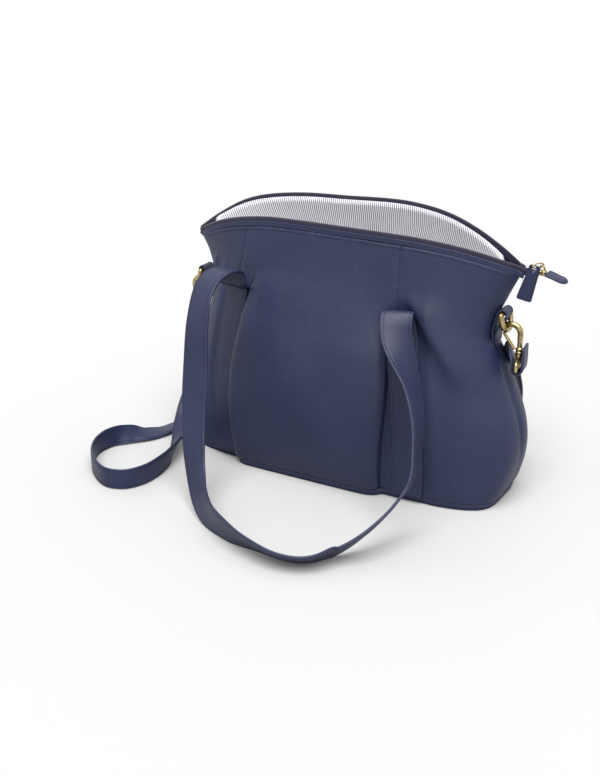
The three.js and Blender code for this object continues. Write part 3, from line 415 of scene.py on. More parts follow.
def unit(vectors):
    """Vectors of length one."""
    return vectors / np.maximum(1e-9, np.linalg.norm(vectors, axis=-1, keepdims=True))


def grid_normals(grid):
    """Unit normals of a grid of points, from the cross product of its two directions."""
    return unit(np.cross(np.gradient(grid, axis=1), np.gradient(grid, axis=0)))


def grid_lengths(grid):
    """How far each point lies along its row and along its column, in millimetres."""
    along = np.linalg.norm(np.diff(grid, axis=1), axis=-1)
    upward = np.linalg.norm(np.diff(grid, axis=0), axis=-1)
    rows = np.pad(np.cumsum(along, axis=1), ((0, 0), (1, 0)))
    columns = np.pad(np.cumsum(upward, axis=0), ((1, 0), (0, 0)))
    return rows, columns


# How far a cut edge bulges, as a share of the leather's thickness, and how far in its wear reaches.
RIM_SHARE = 0.22
PANEL_WEAR_REACH = 2.5


def closed_sheet(name, outer, inside, thickness):
    """A sheet and its size, along and up: its outer grid, the grid moved in along its normals, and a rim
    with a rounded middle row. The grid is turned so that its normals point away from inside."""
    normals = grid_normals(outer)
    if np.sum(normals * (outer - inside)) < 0:
        outer = outer[:, ::-1]
        normals = grid_normals(outer)
    rows, columns = outer.shape[:2]
    inner = outer - normals * thickness
    index = np.arange(rows * columns).reshape(rows, columns)
    border = np.concatenate([index[0, :-1], index[:-1, -1], index[-1, :0:-1], index[:0:-1, 0]])
    flat = outer.reshape(-1, 3)
    flat_inner = inner.reshape(-1, 3)
    around = np.roll(flat[border], -1, axis=0) - np.roll(flat[border], 1, axis=0)
    outwards = unit(np.cross(around, normals.reshape(-1, 3)[border]))
    rim = (flat[border] + flat_inner[border]) / 2 + outwards * thickness * RIM_SHARE
    points = np.concatenate([flat, flat_inner, rim])
    quads = np.stack([index[:-1, :-1], index[:-1, 1:], index[1:, 1:], index[1:, :-1]], -1).reshape(-1, 4)
    count = rows * columns
    middle = 2 * count + np.arange(len(border))
    strip = np.stack([border, middle, np.roll(middle, -1), np.roll(border, -1)], -1)
    low_strip = np.stack([middle, border + count, np.roll(border, -1) + count, np.roll(middle, -1)], -1)
    faces = np.concatenate([quads, quads[:, ::-1] + count, strip, low_strip])
    along, upward = grid_lengths(outer)
    place = np.stack([along, upward], -1).reshape(-1, 2)
    place = np.concatenate([place, place, place[border]])
    near = np.minimum(np.minimum(along, along[:, -1:] - along), np.minimum(upward, upward[-1:] - upward))
    edge = np.exp(-near / PANEL_WEAR_REACH).ravel()
    edge = np.concatenate([edge, edge, np.ones(len(border))]).astype(np.float32)
    piece = build_mesh(name, points, faces, uv=place, edge=edge)
    size = (float(along[:, -1].mean()) * MM, float(upward[-1].mean()) * MM)
    return piece, size


def feed(tree, socket, value):
    """Sets an input to a value, or links it to another node's output."""
    if isinstance(value, bpy.types.NodeSocket):
        tree.links.new(value, socket)
    else:
        socket.default_value = value


def node(tree, kind, settings, **inputs):
    """A shader node with its settings and inputs, each a value or another node's output."""
    made = tree.nodes.new(f"ShaderNode{kind}")
    for name, value in settings.items():
        setattr(made, name, value)
    for name, value in inputs.items():
        feed(tree, made.inputs[name.replace("_", " ")], value)
    return made


def math(tree, operation, first, second=0.0):
    """Arithmetic on two values or outputs, or on the first alone, as for a sine."""
    made = tree.nodes.new("ShaderNodeMath")
    made.operation = operation
    feed(tree, made.inputs[0], first)
    feed(tree, made.inputs[1], second)
    return made.outputs[0]


def mix(tree, factor, first, second):
    """A blend of two colours."""
    return node(tree, "MixRGB", {}, Fac=factor, Color1=first, Color2=second).outputs["Color"]


def add_bumps(tree, shader, height, strength, depth):
    """Fine bumps on a finish, from a height and their real depth in metres."""
    bump = node(tree, "Bump", {}, Strength=strength, Distance=depth, Height=height)
    tree.links.new(bump.outputs["Normal"], shader.inputs["Normal"])


def leather_finish(name, dark, light, worn, roughness):
    """Leather: a colour that drifts between two tones, worn lighter at edges, with a pebbled grain of
    about a millimetre over soft creasing."""
    material, tree, shader, place = new_finish(name, roughness)
    drift = node(tree, "TexNoise", {}, Vector=place, Scale=14.0, Detail=4.0, Roughness=0.6)
    mottle = node(tree, "TexNoise", {}, Vector=place, Scale=260.0, Detail=3.0)
    tone = math(tree, "ADD", math(tree, "MULTIPLY", drift.outputs["Fac"], 0.7),
                math(tree, "MULTIPLY", mottle.outputs["Fac"], 0.3))
    tone = node(tree, "MapRange", {}, Value=tone, From_Min=0.36, From_Max=0.64).outputs["Result"]
    colour = mix(tree, tone, (*dark, 1), (*light, 1))
    near = node(tree, "Attribute", {"attribute_name": "edge"}).outputs["Fac"]
    scuff = node(tree, "TexNoise", {}, Vector=place, Scale=120.0, Detail=5.0)
    scuff = node(tree, "MapRange", {}, Value=scuff.outputs["Fac"], From_Min=0.42, From_Max=0.7)
    wear = math(tree, "MULTIPLY", math(tree, "MULTIPLY", near, scuff.outputs["Result"]), 0.55)
    tree.links.new(mix(tree, wear, colour, (*worn, 1)), shader.inputs["Base Color"])
    shine = node(tree, "MapRange", {}, Value=mottle.outputs["Fac"], To_Min=roughness - 0.07,
                 To_Max=roughness + 0.09)
    tree.links.new(shine.outputs["Result"], shader.inputs["Roughness"])
    pebble = node(tree, "TexVoronoi", {}, Vector=place, Scale=1050.0)
    crease = node(tree, "TexNoise", {}, Vector=place, Scale=420.0, Detail=4.0, Distortion=0.4)
    height = math(tree, "SUBTRACT", math(tree, "MULTIPLY", crease.outputs["Fac"], 0.8),
                  math(tree, "MULTIPLY", pebble.outputs["Distance"], 0.6))
    add_bumps(tree, shader, height, strength=0.32, depth=0.0005)
    return material


NAVY = leather_finish("panel_leather", dark=(0.0072, 0.0106, 0.0345), light=(0.0112, 0.0156, 0.0465),
                      worn=(0.023, 0.03, 0.068), roughness=0.5)
INSIDE = np.array([0, 0, 130])
PANEL_BOTTOM = BASE_RIM_HEIGHT + SEAM_GAP
PANEL_TOP = NOMINAL_HEIGHT - MOUTH_BAND - SEAM_GAP
PANEL_ROWS = 116
ups = np.linspace(PANEL_BOTTOM, PANEL_TOP, PANEL_ROWS)[:, None]


def run_of(*stretches):
    """Places along a row of the wall: stretches from one line to the next, each with its spacing."""
    parts = [start + (end - start) * spacing for start, end, spacing in stretches]
    return np.concatenate([parts[0]] + [part[:, 1:] for part in parts[1:]], axis=1)


def even(count):
    """Even spacing from 0 to 1."""
    return np.linspace(0, 1, count)[None, :]


def close_first(count):
    """Spacing from 0 to 1 that is closest at its start."""
    return np.linspace(0, 1, count)[None, :] ** 2


def close_last(count):
    """Spacing from 0 to 1 that is closest at its end."""
    return 1 - close_first(count)[:, ::-1]


# How many points each stretch of a row has: beside a seam, round a flank, across the pillow, beside a
# leg, and from there to the side seam.
SEAM_POINTS = {"left": 10, "right": 14}
FLANK_POINTS = 22
PILLOW_POINTS = 76
LEG_POINTS = 26
SIDE_POINTS = {"left": 60, "right": 76}
lines = {name: column(LINES, name, ups) for name in LINES if name != "at"}
left_flank = lines["foot_left"] + PILLOW_ROUND
right_flank = lines["foot_right"] - PILLOW_ROUND
for side in ("front", "back"):
    centre_x = run_of(
        (lines["seam_left"] + SEAM_GAP / 2, lines["foot_left"], close_first(SEAM_POINTS["left"])),
        (lines["foot_left"], left_flank, close_first(FLANK_POINTS)),
        (left_flank, right_flank, even(PILLOW_POINTS)),
        (right_flank, lines["foot_right"], close_last(FLANK_POINTS)),
        (lines["foot_right"], lines["seam_right"] - SEAM_GAP / 2, close_last(SEAM_POINTS["right"])),
    )
    spans = {"centre": turn_at(side, centre_x, ups)}
    for hand, away, side_seam in (("left", -1, np.pi), ("right", 1, 0)):
        beside_seam = turn_at(side, lines[f"seam_{hand}"] + away * SEAM_GAP / 2, ups)
        beside_leg = turn_at(side, lines[f"leg_{hand}"] + away * (LEG_FLAT + GROOVE_STEP), ups)
        spans[hand] = run_of(
            (beside_seam, beside_leg, close_first(LEG_POINTS)),
            (beside_leg, np.full_like(ups, side_seam), close_last(SIDE_POINTS[hand])),
        )
    for part, turns in spans.items():
        grid = wall(side, turns, ups)
        grid[..., 1] = FACING[side] * np.maximum(SEAM_GAP / 2, FACING[side] * grid[..., 1])
        name = f"{side}_panel_{part}"
        panel, cut = closed_sheet(f"{name}_leather", grid, INSIDE, LEATHER)
        panel.data.materials.append(NAVY)
        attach(panel, "root")
        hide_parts(name)

# Base: one piece of the same leather, flat where it stands, with its edge turned up 8 mm all round and
# the walls sewn to it. The seam shows as a dark line.
BASE_PROFILE = named_rows("at inset z", [
    (0, 60, 3.2),
    (1, 16, 3),
    (2, 7, 3.4),
    (3, 3.4, 5),
    (4, 2.8, 7.4),
    (5, 1.6, 8.1),
    (6, 0.5, 7.4),
    (7, 0.7, 4),
    (8, 3.2, 1),
    (9, 7, 0),
    (10, 60, 0),
])
BASE_STEPS = 240
BASE_PROFILE_STEPS = 48


def once_round(count):
    """Angles at an even pitch once round, from 0."""
    return np.arange(count) * 2 * np.pi / count


def base_outline(inset, z):
    """A loop round the body's foot: x and y are powers of a turn's cosine and sine, drawn in by an inset,
    and y follows the wall's relief."""
    turn = once_round(BASE_STEPS)
    loops = []
    for side in ("front", "back"):
        middle, half, depth, corner_x, corner_y = section(side, BASE_RIM_HEIGHT)
        x = middle + (half - inset) * signed_power(np.cos(turn), corner_x)
        lift, _ = relief(side, x, BASE_RIM_HEIGHT, 0)
        swell = np.sign(np.sin(turn)) * smoothstep(np.abs(np.sin(turn)) / SEAM_FADE) * lift
        y = (depth - inset) * signed_power(np.sin(turn), corner_y) + swell
        loops.append(np.stack(np.broadcast_arrays(x, y, z), -1))
    return np.where(np.sin(turn)[:, None] < 0, loops[0], loops[1])


def closed_loft(name, loops, ring=False, edge=None, uv=None):
    """A body through closed loops (n, m, 3), capped with fans at its ends unless the loops make a ring.
    Faces are turned outwards by the sign of the volume between them. edge is given once for all loops."""
    count, size = loops.shape[:2]
    if edge is not None:
        edge = np.broadcast_to(edge, (count, size)).astype(np.float32).ravel()
    index = np.arange(count * size).reshape(count, size)
    low = index if ring else index[:-1]
    high = np.roll(index, -1, axis=0) if ring else index[1:]
    beside_low = np.roll(low, -1, axis=1)
    beside_high = np.roll(high, -1, axis=1)
    faces = np.stack([low, beside_low, beside_high, high], -1).reshape(-1, 4)
    points = loops.reshape(-1, 3)
    triangles = None
    if not ring:
        caps = np.stack([loops[0].mean(axis=0), loops[-1].mean(axis=0)])
        first = np.stack([np.full(size, len(points)), np.roll(index[0], -1), index[0]], -1)
        last = np.stack([np.full(size, len(points) + 1), index[-1], np.roll(index[-1], -1)], -1)
        triangles = np.concatenate([first, last])
        points = np.concatenate([points, caps])
        if edge is not None:
            edge = np.concatenate([edge, np.zeros(2, np.float32)])
        if uv is not None:
            uv = np.concatenate([uv.reshape(-1, 2), uv[:1].mean(axis=1), uv[-1:].mean(axis=1)])
    one, two, three, four = (points[faces[:, corner]] for corner in range(4))
    volume = np.sum(one * np.cross(two, three)) + np.sum(one * np.cross(three, four))
    if volume < 0:
        faces = faces[:, ::-1]
        triangles = None if triangles is None else triangles[:, ::-1]
    return build_mesh(name, points, faces, triangles, edge=edge, uv=uv)


base_loops = np.stack([
    base_outline(column(BASE_PROFILE, "inset", at), max(0, column(BASE_PROFILE, "z", at)))
    for at in np.linspace(0, 10, BASE_PROFILE_STEPS)
])
base = closed_loft("base_panel_leather", base_loops)
base.data.materials.append(NAVY)
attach(base, "root")
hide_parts("base_panel")

# Mouth bands: the narrow turned leather edges of the mouth, front and back, with the zip sewn in behind
# them. Each comes to a point at the left end and runs out beyond the last stitch at the right.
TAPE = 1.2
TAPE_ABOVE_BAND = 4.8
TAPE_BELOW_BAND = 5
TAPE_INSET = 2.3
BAND_TAPER = 5
BAND_TAPER_REACH = 60
BAND_CREASE = {"depth": 0.25, "below": 2.6, "width": 1.4}
BAND_WEAR = 1.2
MOUTH_STEPS = 260


def mouth_points(side, x, inset, above, least):
    """Points of the mouth's edge at x: the lens-shaped outline drawn in from the wall's outer face, never
    nearer to the middle than the least distance, and raised above the edge."""
    middle, half, depth, _, corner_y = section(side, NOMINAL_HEIGHT)
    share = np.minimum(1, np.abs((x - middle) / half))
    y = np.maximum(least, depth * (1 - share**2) ** (corner_y / 2) - inset)
    return np.stack(np.broadcast_arrays(x, FACING[side] * y, mouth_height(side, x) + above), -1)


def mouth_strip(side, profile, least):
    """Loops of a strip along the mouth. profile holds places (inset, height above the edge). The strip's
    lower edge stops short at the left, by a share of how deep it lies."""
    swing = (1 - np.cos(np.linspace(0, np.pi, MOUTH_STEPS))) / 2
    x = (MOUTH_LEFT_END + (MOUTH_RIGHT_END - MOUTH_LEFT_END) * swing)[:, None]
    inset, above = profile[:, 0][None, :], profile[:, 1][None, :]
    taper = BAND_TAPER * np.maximum(0, -above) / MOUTH_BAND
    at = x + taper * (1 - smoothstep((x - MOUTH_LEFT_END) / BAND_TAPER_REACH))
    deepest = np.max(profile[:, 0])
    return mouth_points(side, at, inset, above, least + deepest - inset)


def round_strip(inset, thick, low, high, count):
    """The section of a strip with a rounded top and foot, as places (inset, height)."""
    radius = thick / 2
    arc = np.linspace(0, np.pi, 9)
    face = np.linspace(low + radius, high - radius, count)
    outer = np.stack([np.full(count, inset), face], -1)
    top = np.stack([inset + radius - radius * np.cos(arc), high - radius + radius * np.sin(arc)], -1)
    inner = np.stack([np.full(count, inset + thick), face[::-1]], -1)
    foot = np.stack([inset + radius + radius * np.cos(arc), low + radius - radius * np.sin(arc)], -1)
    return np.concatenate([outer, top[1:-1], inner, foot[1:-1]])


for side in ("front", "back"):
    profile = round_strip(0, LEATHER, -MOUTH_BAND, 0, count=8)
    crease = BAND_CREASE["depth"] * bell(profile[:, 1] + BAND_CREASE["below"], BAND_CREASE["width"])
    profile[:, 0] += crease * (profile[:, 0] < LEATHER / 2)
    worn = np.exp(-np.abs(profile[:, 1]) / BAND_WEAR)
    loops = mouth_strip(side, profile, TAPE + 2 * SEAM_GAP)
    band = closed_loft(f"mouth_band_{side}_leather", loops, edge=worn)
    band.data.materials.append(NAVY)
    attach(band, "root")
    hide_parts(f"mouth_band_{side}")

# Lining: a bag of light grey cotton with fine dark stripes that run down it, sewn on under the zip and
# loose inside the walls.
LINING_ROWS = named_rows("at inset", [
    (16, 11),
    (60, 13),
    (120, 14),
    (200, 13),
    (240, 9),
    (275, 5.2),
    (300.6, 4.6),
])
LINING_THICK = 0.9
LINING_STEPS = 420
LINING_HEIGHTS = 42
FLOOR_SEAM = 0.4
STRIPE_PITCH = 2.7
WEFT_PITCH = 0.5
WARP_PITCH = 0.45
# Below this height the cloth hangs free: within the reach it moves in from the wall by its slack, in
# waves that lean as they go up.
HANGS_BELOW = 290
HANG_REACH = 60
HANG_SLACK = 1.5
WAVE_LEAN = 70
LINING_WAVES = named_rows("count turn rise", [
    (9, 0.3, 0.7),
    (15, 2.1, 0.5),
    (31, 4.4, 0.22),
])


def lining_loop(up, inset):
    """A loop of the lining: the wall's outline shrunk by an inset, with soft waves that hang down it."""
    turn = once_round(LINING_STEPS)
    hang = smoothstep((HANGS_BELOW - up) / HANG_REACH)
    waves = sum(rise * np.sin(count * turn + start + up / WAVE_LEAN)
                for count, start, rise in rows_of(LINING_WAVES))
    loops = []
    for side in ("front", "back"):
        middle, half, depth, corner_x, corner_y = section(side, up)
        shrink = (depth - inset - hang * (waves + HANG_SLACK)) / depth
        x = middle + half * signed_power(np.cos(turn), corner_x) * shrink
        y = depth * shrink * signed_power(np.sin(turn), corner_y)
        loops.append(np.stack([x, y, height_of(side, x, up)], -1))
    return np.where(np.sin(turn)[:, None] < 0, loops[0], loops[1])


def cloth_places(tree):
    """The two directions of the cloth that a piece is cut from, in millimetres."""
    cloth = node(tree, "UVMap", {"uv_map": "Cloth"}).outputs["UV"]
    parts = node(tree, "SeparateXYZ", {}, Vector=cloth)
    return parts.outputs["X"], parts.outputs["Y"]


lining_ups = np.linspace(LINING_ROWS["at"][0], LINING_ROWS["at"][-1], LINING_HEIGHTS)
outer = np.stack([lining_loop(up, column(LINING_ROWS, "inset", up)) for up in lining_ups])
inner = np.stack([lining_loop(up, column(LINING_ROWS, "inset", up) + LINING_THICK) for up in lining_ups])
inner[0, :, 2] += LINING_THICK
around = np.linalg.norm(outer[-1] - np.roll(outer[-1], 1, axis=0), axis=-1)
stripes = np.broadcast_to(np.cumsum(around), outer.shape[:2])
lining_uv = np.stack([stripes, np.broadcast_to(lining_ups[:, None], outer.shape[:2])], -1)
# The floor starts just inside its seam, and its stripes run straight across it.
floor_rim = inner[:1] + FLOOR_SEAM * unit(inner[:1].mean(axis=1, keepdims=True) - inner[:1])
lining = closed_loft("lining_cloth", np.concatenate([outer, inner[::-1], floor_rim]),
                     uv=np.concatenate([lining_uv, lining_uv[::-1], floor_rim[..., :2]]))
LINING, tree, shader, place = new_finish("lining_cloth", 0.85)
round_it, up_it = cloth_places(tree)
across = math(tree, "MULTIPLY", round_it, 2 * np.pi / STRIPE_PITCH)
band_tone = node(tree, "MapRange", {}, Value=math(tree, "SINE", across), From_Min=-0.15, From_Max=0.45)
soft = node(tree, "TexNoise", {}, Vector=place, Scale=700.0, Detail=3.0)
fibre = math(tree, "MULTIPLY", math(tree, "SUBTRACT", soft.outputs["Fac"], 0.5), 0.35)
tone = math(tree, "ADD", band_tone.outputs["Result"], fibre)
tree.links.new(mix(tree, tone, (0.17, 0.165, 0.20, 1), (0.70, 0.685, 0.71, 1)), shader.inputs["Base Color"])
weft = math(tree, "SINE", math(tree, "MULTIPLY", up_it, 2 * np.pi / WEFT_PITCH))
warp = math(tree, "SINE", math(tree, "MULTIPLY", round_it, 2 * np.pi / WARP_PITCH))
add_bumps(tree, shader, math(tree, "MULTIPLY", weft, warp), strength=0.2, depth=0.0001)
lining.data.materials.append(LINING)
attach(lining, "root")
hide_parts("lining")

# Zip tapes: the open zip's two halves, woven charcoal tape that stands up behind the leather edge, each
# with a row of small dark teeth along its top.
TOOTH_PITCH = 1.4
TOOTH_RADIUS = 0.82
TOOTH_LENGTH = 2.9
TOOTH_PROUD = 0.3
TOOTH_SIDES = 6
RIB_PITCH = 0.9


def capsules(name, middles, along, across, radius, length, sides):
    """Many small capsules in one mesh: each is a profile of radii turned round its own direction, with
    its ends closed by fans."""
    share = np.array([-1, -0.6, 0.6, 1])
    width = np.array([0.45, 1, 1, 0.45])
    turn = once_round(sides)
    through = np.cross(along, across)
    round_part = (np.cos(turn)[None, :, None] * across[:, None, None, :]
                  + np.sin(turn)[None, :, None] * through[:, None, None, :])
    points = (middles[:, None, None, :] + along[:, None, None, :] * (share * length / 2)[None, :, None, None]
              + round_part * (radius * width)[None, :, None, None])
    count = len(middles)
    index = np.arange(count * len(share) * sides).reshape(count, len(share), sides)
    low, high = index[:, :-1], index[:, 1:]
    faces = np.stack([low, np.roll(low, -1, axis=2), np.roll(high, -1, axis=2), high], -1).reshape(-1, 4)
    fan = np.arange(1, sides - 1)
    first = np.stack([index[:, 0, :1] + 0 * fan, index[:, 0, fan + 1], index[:, 0, fan]], -1)
    last = np.stack([index[:, -1, :1] + 0 * fan, index[:, -1, fan], index[:, -1, fan + 1]], -1)
    triangles = np.concatenate([first.reshape(-1, 3), last.reshape(-1, 3)])
    return build_mesh(name, points.reshape(-1, 3), faces, triangles)


def lengths_along(path):
    """How far each point of a path lies from its start."""
    return np.concatenate([[0], np.cumsum(np.linalg.norm(np.diff(path, axis=0), axis=-1))])


def path_length(path):
    """Length of a path from its first point to its last."""
    return float(np.sum(np.linalg.norm(np.diff(path, axis=0), axis=-1)))


def evenly(path, pitch):
    """Places at an even pitch along a path (n, 3), as an index between its points."""
    length = lengths_along(path)
    count = max(2, int(round(length[-1] / pitch)))
    return np.interp(np.arange(count) * length[-1] / (count - 1), length, np.arange(len(path)))


def pick(values, places):
    """Rows of an array at places between its rows, in a straight line between them."""
    low = np.clip(places.astype(int), 0, len(values) - 2)
    share = (places - low)[:, None]
    return values[low] * (1 - share) + values[low + 1] * share


ZIP, tree, shader, place = new_finish("zip_cloth", 0.75)
slanted = math(tree, "ADD", *cloth_places(tree))
rib = math(tree, "SINE", math(tree, "MULTIPLY", slanted, 2 * np.pi / RIB_PITCH))
fleck = node(tree, "TexNoise", {}, Vector=place, Scale=900.0, Detail=3.0)
tone = math(tree, "ADD", math(tree, "MULTIPLY", rib, 0.3), fleck.outputs["Fac"])
tree.links.new(mix(tree, tone, (0.011, 0.009, 0.024, 1), (0.024, 0.02, 0.05, 1)), shader.inputs["Base Color"])
add_bumps(tree, shader, rib, strength=0.5, depth=0.0002)
TEETH, tree, shader, place = new_finish("zip_teeth", 0.42)
fleck = node(tree, "TexNoise", {}, Vector=place, Scale=1500.0, Detail=2.0)
tree.links.new(mix(tree, fleck.outputs["Fac"], (0.015, 0.015, 0.022, 1), (0.05, 0.05, 0.062, 1)),
               shader.inputs["Base Color"])
for side in ("front", "back"):
    profile = round_strip(TAPE_INSET, TAPE, -TAPE_BELOW_BAND, TAPE_ABOVE_BAND, count=12)
    loops = mouth_strip(side, profile, SEAM_GAP / 2)
    heights = profile[:, 1] + profile[:, 0]
    tape_uv = np.stack(np.broadcast_arrays(lengths_along(loops[:, 0])[:, None], heights[None, :]), -1)
    tape = closed_loft(f"zip_tape_{side}_cloth", loops, uv=tape_uv)
    tape.data.materials.append(ZIP)
    crest = np.array([[TAPE_INSET + TAPE / 2, TAPE_ABOVE_BAND - TOOTH_LENGTH / 2 + TOOTH_PROUD]])
    path = mouth_strip(side, crest, 3 * SEAM_GAP)[:, 0]
    places = evenly(path, TOOTH_PITCH)
    middles = pick(path, places)
    forward = unit(pick(np.gradient(path, axis=0), places))
    upward = np.broadcast_to(np.array([0, 0, 1.0]), forward.shape)
    upward = unit(upward - np.sum(upward * forward, axis=-1, keepdims=True) * forward)
    teeth = capsules(f"zip_teeth_{side}", middles, upward, forward, TOOTH_RADIUS, TOOTH_LENGTH, TOOTH_SIDES)
    teeth.data.materials.append(TEETH)
    for piece in (tape, teeth):
        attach(piece, "root")
    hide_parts(f"zip_tape_{side}")

# Handles: one long double leather strap each, 35 mm wide with rounded edges and a row of stitches near
# both, sewn flat down the handle seams and left free as a loop between them.
HANDLE_THICK = 3.2
SEWN_GAP = 0.9
SEWN_SHARE = 0.75
LEG_BELOW_MOUTH = 8.8
REST_HEIGHT = 0.2
SEWN_STEPS = 90
STRAP_STEP = 3.0
HANDLE_EASE = 6
# Places across a strap's face, enough to sink the stitch rows where it has them.
FACE_PLACES = 33
PLAIN_FACE_PLACES = 15
STITCH_INSET = 3.4
STITCH_SINK = 0.5
STITCH_SINK_WIDTH = 0.8
STITCH_PITCH = 3.9
STITCH_LENGTH = 2.9
STITCH_RADIUS = 0.36
STITCH_SLANT = 0.06
STITCH_SIDES = 5
WEAR_REACH = 1.1
# The free front loop stands out in an arch, falls to the floor, lies there on its edge and climbs again
# on the right, where it folds over against the wall. The back one lies the same way behind the bag. A
# row holds the middle's x, y and z, and the compass heading and the climb of the strap's width.
FREE_LOOPS = {
    "front": np.array([
        (-122, -68.5, 228, 0, 0), (-120.5, -69.5, 236.5, 0, -2), (-120, -77, 243.5, -2, 0),
        (-120.5, -93, 246.2, -7, 4), (-122, -118, 240.5, -15, 6),
        (-122, -133, 225, -22, 3), (-121, -144, 196, -13, 0), (-118, -154, 150, -5, 0),
        (-114, -165, 113, -6, 3), (-105, -181, 70, -9, 12), (-94, -194, 40, -14, 31),
        (-67, -222, 20, -13, 59), (-24, -250, 17.6, -100, 77), (22, -263, 15, -108, 49),
        (63, -266, 12, -94, 38), (88, -255, 11, -83, 33), (105, -229, 13, -80, 30), (128, -205, 31, -79, 18),
        (143, -170, 52, -79, 8), (151, -148, 76, -79, 0), (147, -130, 105, -80, 0), (139, -116, 132, -82, 0),
        (126, -104, 160, -88, 0), (117, -99, 175, -100, 0), (109, -95, 188, -125, 0), (99, -89, 209, -152, 0),
        (96, -83, 222, -158, 0), (94, -76, 229, -162, 0), (92, -70, 225, -170, 0),
    ]),
    "back": np.array([
        (-119, 70, 231, 0, 0), (-119, 84, 245, 0, 0), (-120, 102, 246, 4, 4), (-122, 121, 228, 12, 3),
        (-122, 134, 180, 10, 0), (-121, 144, 120, 8, 0), (-114, 157, 66, 10, 8), (-98, 174, 32, 12, 34),
        (-66, 199, 18.5, 14, 62), (-20, 219, 17.2, 90, 72), (36, 222, 15, 94, 50), (80, 205, 14, 100, 44),
        (108, 179, 27, 130, 26), (117, 160, 60, 150, 8), (115, 149, 112, 162, 0), (107, 137, 168, 170, 0),
        (99, 120, 214, 175, 0), (94, 98, 238, 180, 0), (92, 80, 238, 180, 0), (91, 70, 227, 180, 0),
    ]),
}


def route(points, per_row):
    """A centripetal Catmull-Rom curve: between two rows, a cubic with the slopes that the roots of the
    distances between four neighbours give."""
    padded = np.concatenate([[2 * points[0] - points[1]], points, [2 * points[-1] - points[-2]]])
    gap = np.maximum(1e-4, np.sqrt(np.linalg.norm(np.diff(padded, axis=0), axis=-1)))[:, None]
    p0, p1, p2, p3 = padded[:-3], padded[1:-2], padded[2:-1], padded[3:]
    g0, g1, g2 = gap[:-2], gap[1:-1], gap[2:]
    start = ((p1 - p0) / g0 - (p2 - p0) / (g0 + g1) + (p2 - p1) / g1) * g1
    end = ((p2 - p1) / g1 - (p3 - p1) / (g1 + g2) + (p3 - p2) / g2) * g1
    t = (np.arange(per_row) / per_row)[None, :, None]
    by_start, by_first_slope, by_end, by_last_slope = cubic_weights(t)
    curve = (by_start * p1[:, None] + by_first_slope * start[:, None]
             + by_end * p2[:, None] + by_last_slope * end[:, None])
    return np.concatenate([curve.reshape(-1, 3), points[-1:]])


def width_vectors(headings, rises, per_row):
    """The strap's width as a direction: its compass heading and its climb, eased from row to row."""
    turn, tilt = np.radians(headings), np.radians(rises)
    rows = np.stack([np.cos(turn) * np.cos(tilt), np.sin(turn) * np.cos(tilt), np.sin(tilt)], -1)
    share = smoothstep(np.arange(per_row) / per_row)[None, :, None]
    between = rows[:-1, None] * (1 - share) + rows[1:, None] * share
    return np.concatenate([between.reshape(-1, 3), rows[-1:]])


def softened(rows, ease):
    """Rows averaged with their neighbours by a bell of a given width, with both ends held."""
    if ease < 0.5:
        return rows
    reach = int(3 * ease)
    weights = bell(np.arange(-reach, reach + 1), ease)
    weights /= weights.sum()
    padded = np.concatenate([2 * rows[:1] - rows[reach:0:-1], rows, 2 * rows[-1:] - rows[-2:-reach - 2:-1]])
    return np.stack([np.convolve(values, weights, mode="valid") for values in padded.T], -1)


def strap_frames(table, step, ease=1.0, per_row=24):
    """Even stations along a strap: its middle, its width's direction and the direction through it.
    ease is how many stations the turning of the width is softened over."""
    path = route(table[:, :3], per_row)
    widths = width_vectors(table[:, 3], table[:, 4], per_row)
    places = evenly(path, step)
    middle = softened(pick(path, places), 1)
    along = unit(np.gradient(middle, axis=0))
    across = softened(pick(widths, places), ease)
    across = unit(across - np.sum(across * along, axis=-1, keepdims=True) * along)
    return middle, across, np.cross(along, across)


def strap_profile(width, thick, stitch_inset=None):
    """The section of a strap, as places across it and through it: two faces, sunk by a bell where a
    stitch row runs, and two round edges."""
    radius = thick / 2
    reach = width / 2 - radius
    across = np.linspace(-reach, reach, FACE_PLACES if stitch_inset else PLAIN_FACE_PLACES)
    through = np.full_like(across, radius)
    if stitch_inset:
        through -= STITCH_SINK * bell(np.abs(across) - (width / 2 - stitch_inset), STITCH_SINK_WIDTH)
    arc = np.linspace(np.pi / 2, -np.pi / 2, 9)[1:-1]
    right = np.stack([reach + radius * np.cos(arc), radius * np.sin(arc)], -1)
    top = np.stack([across, through], -1)
    return np.concatenate([top, right, -top, -right])


def carry(profile, middle, across, through):
    """Loops of a profile carried along stations, lifted where one would go below the floor."""
    loops = (middle[:, None] + profile[None, :, :1] * across[:, None]
             + profile[None, :, 1:] * through[:, None])
    loops[..., 2] += np.maximum(0, REST_HEIGHT - loops[..., 2].min(axis=1, keepdims=True))
    return loops


def edge_wear(profile, width):
    """How near each place of a strap's section is to its edge: 1 there, falling off inwards."""
    return np.exp(-(width / 2 - np.abs(profile[:, 0])) / WEAR_REACH)


def stitch_rows(name, lines, outwards, radius=STITCH_RADIUS, pitch=STITCH_PITCH, length=STITCH_LENGTH):
    """Stitches at an even pitch along lines on a surface, in one mesh: each lies half in the surface,
    turned a little from its line."""
    middles, alongs, acrosses = [], [], []
    for line, outward in zip(lines, outwards):
        places = evenly(line, pitch)[1:-1]
        along = unit(pick(np.gradient(line, axis=0), places))
        facing = unit(pick(outward, places))
        middles.append(pick(line, places))
        alongs.append(unit(along + STITCH_SLANT * np.cross(along, facing)))
        acrosses.append(facing)
    return capsules(name, np.concatenate(middles), np.concatenate(alongs), np.concatenate(acrosses),
                    radius, length, STITCH_SIDES)


def wall_with_normal(side, x, up):
    """The wall where something is sewn on it, and its outward direction by differences."""
    step = 0.5

    def at(x, up):
        return wall(side, turn_at(side, x, up), up, 0)

    normal = unit(np.cross(at(x + step, up) - at(x - step, up), at(x, up + step) - at(x, up - step)))
    return at(x, up), normal * np.sign(normal[..., 1:2]) * FACING[side]


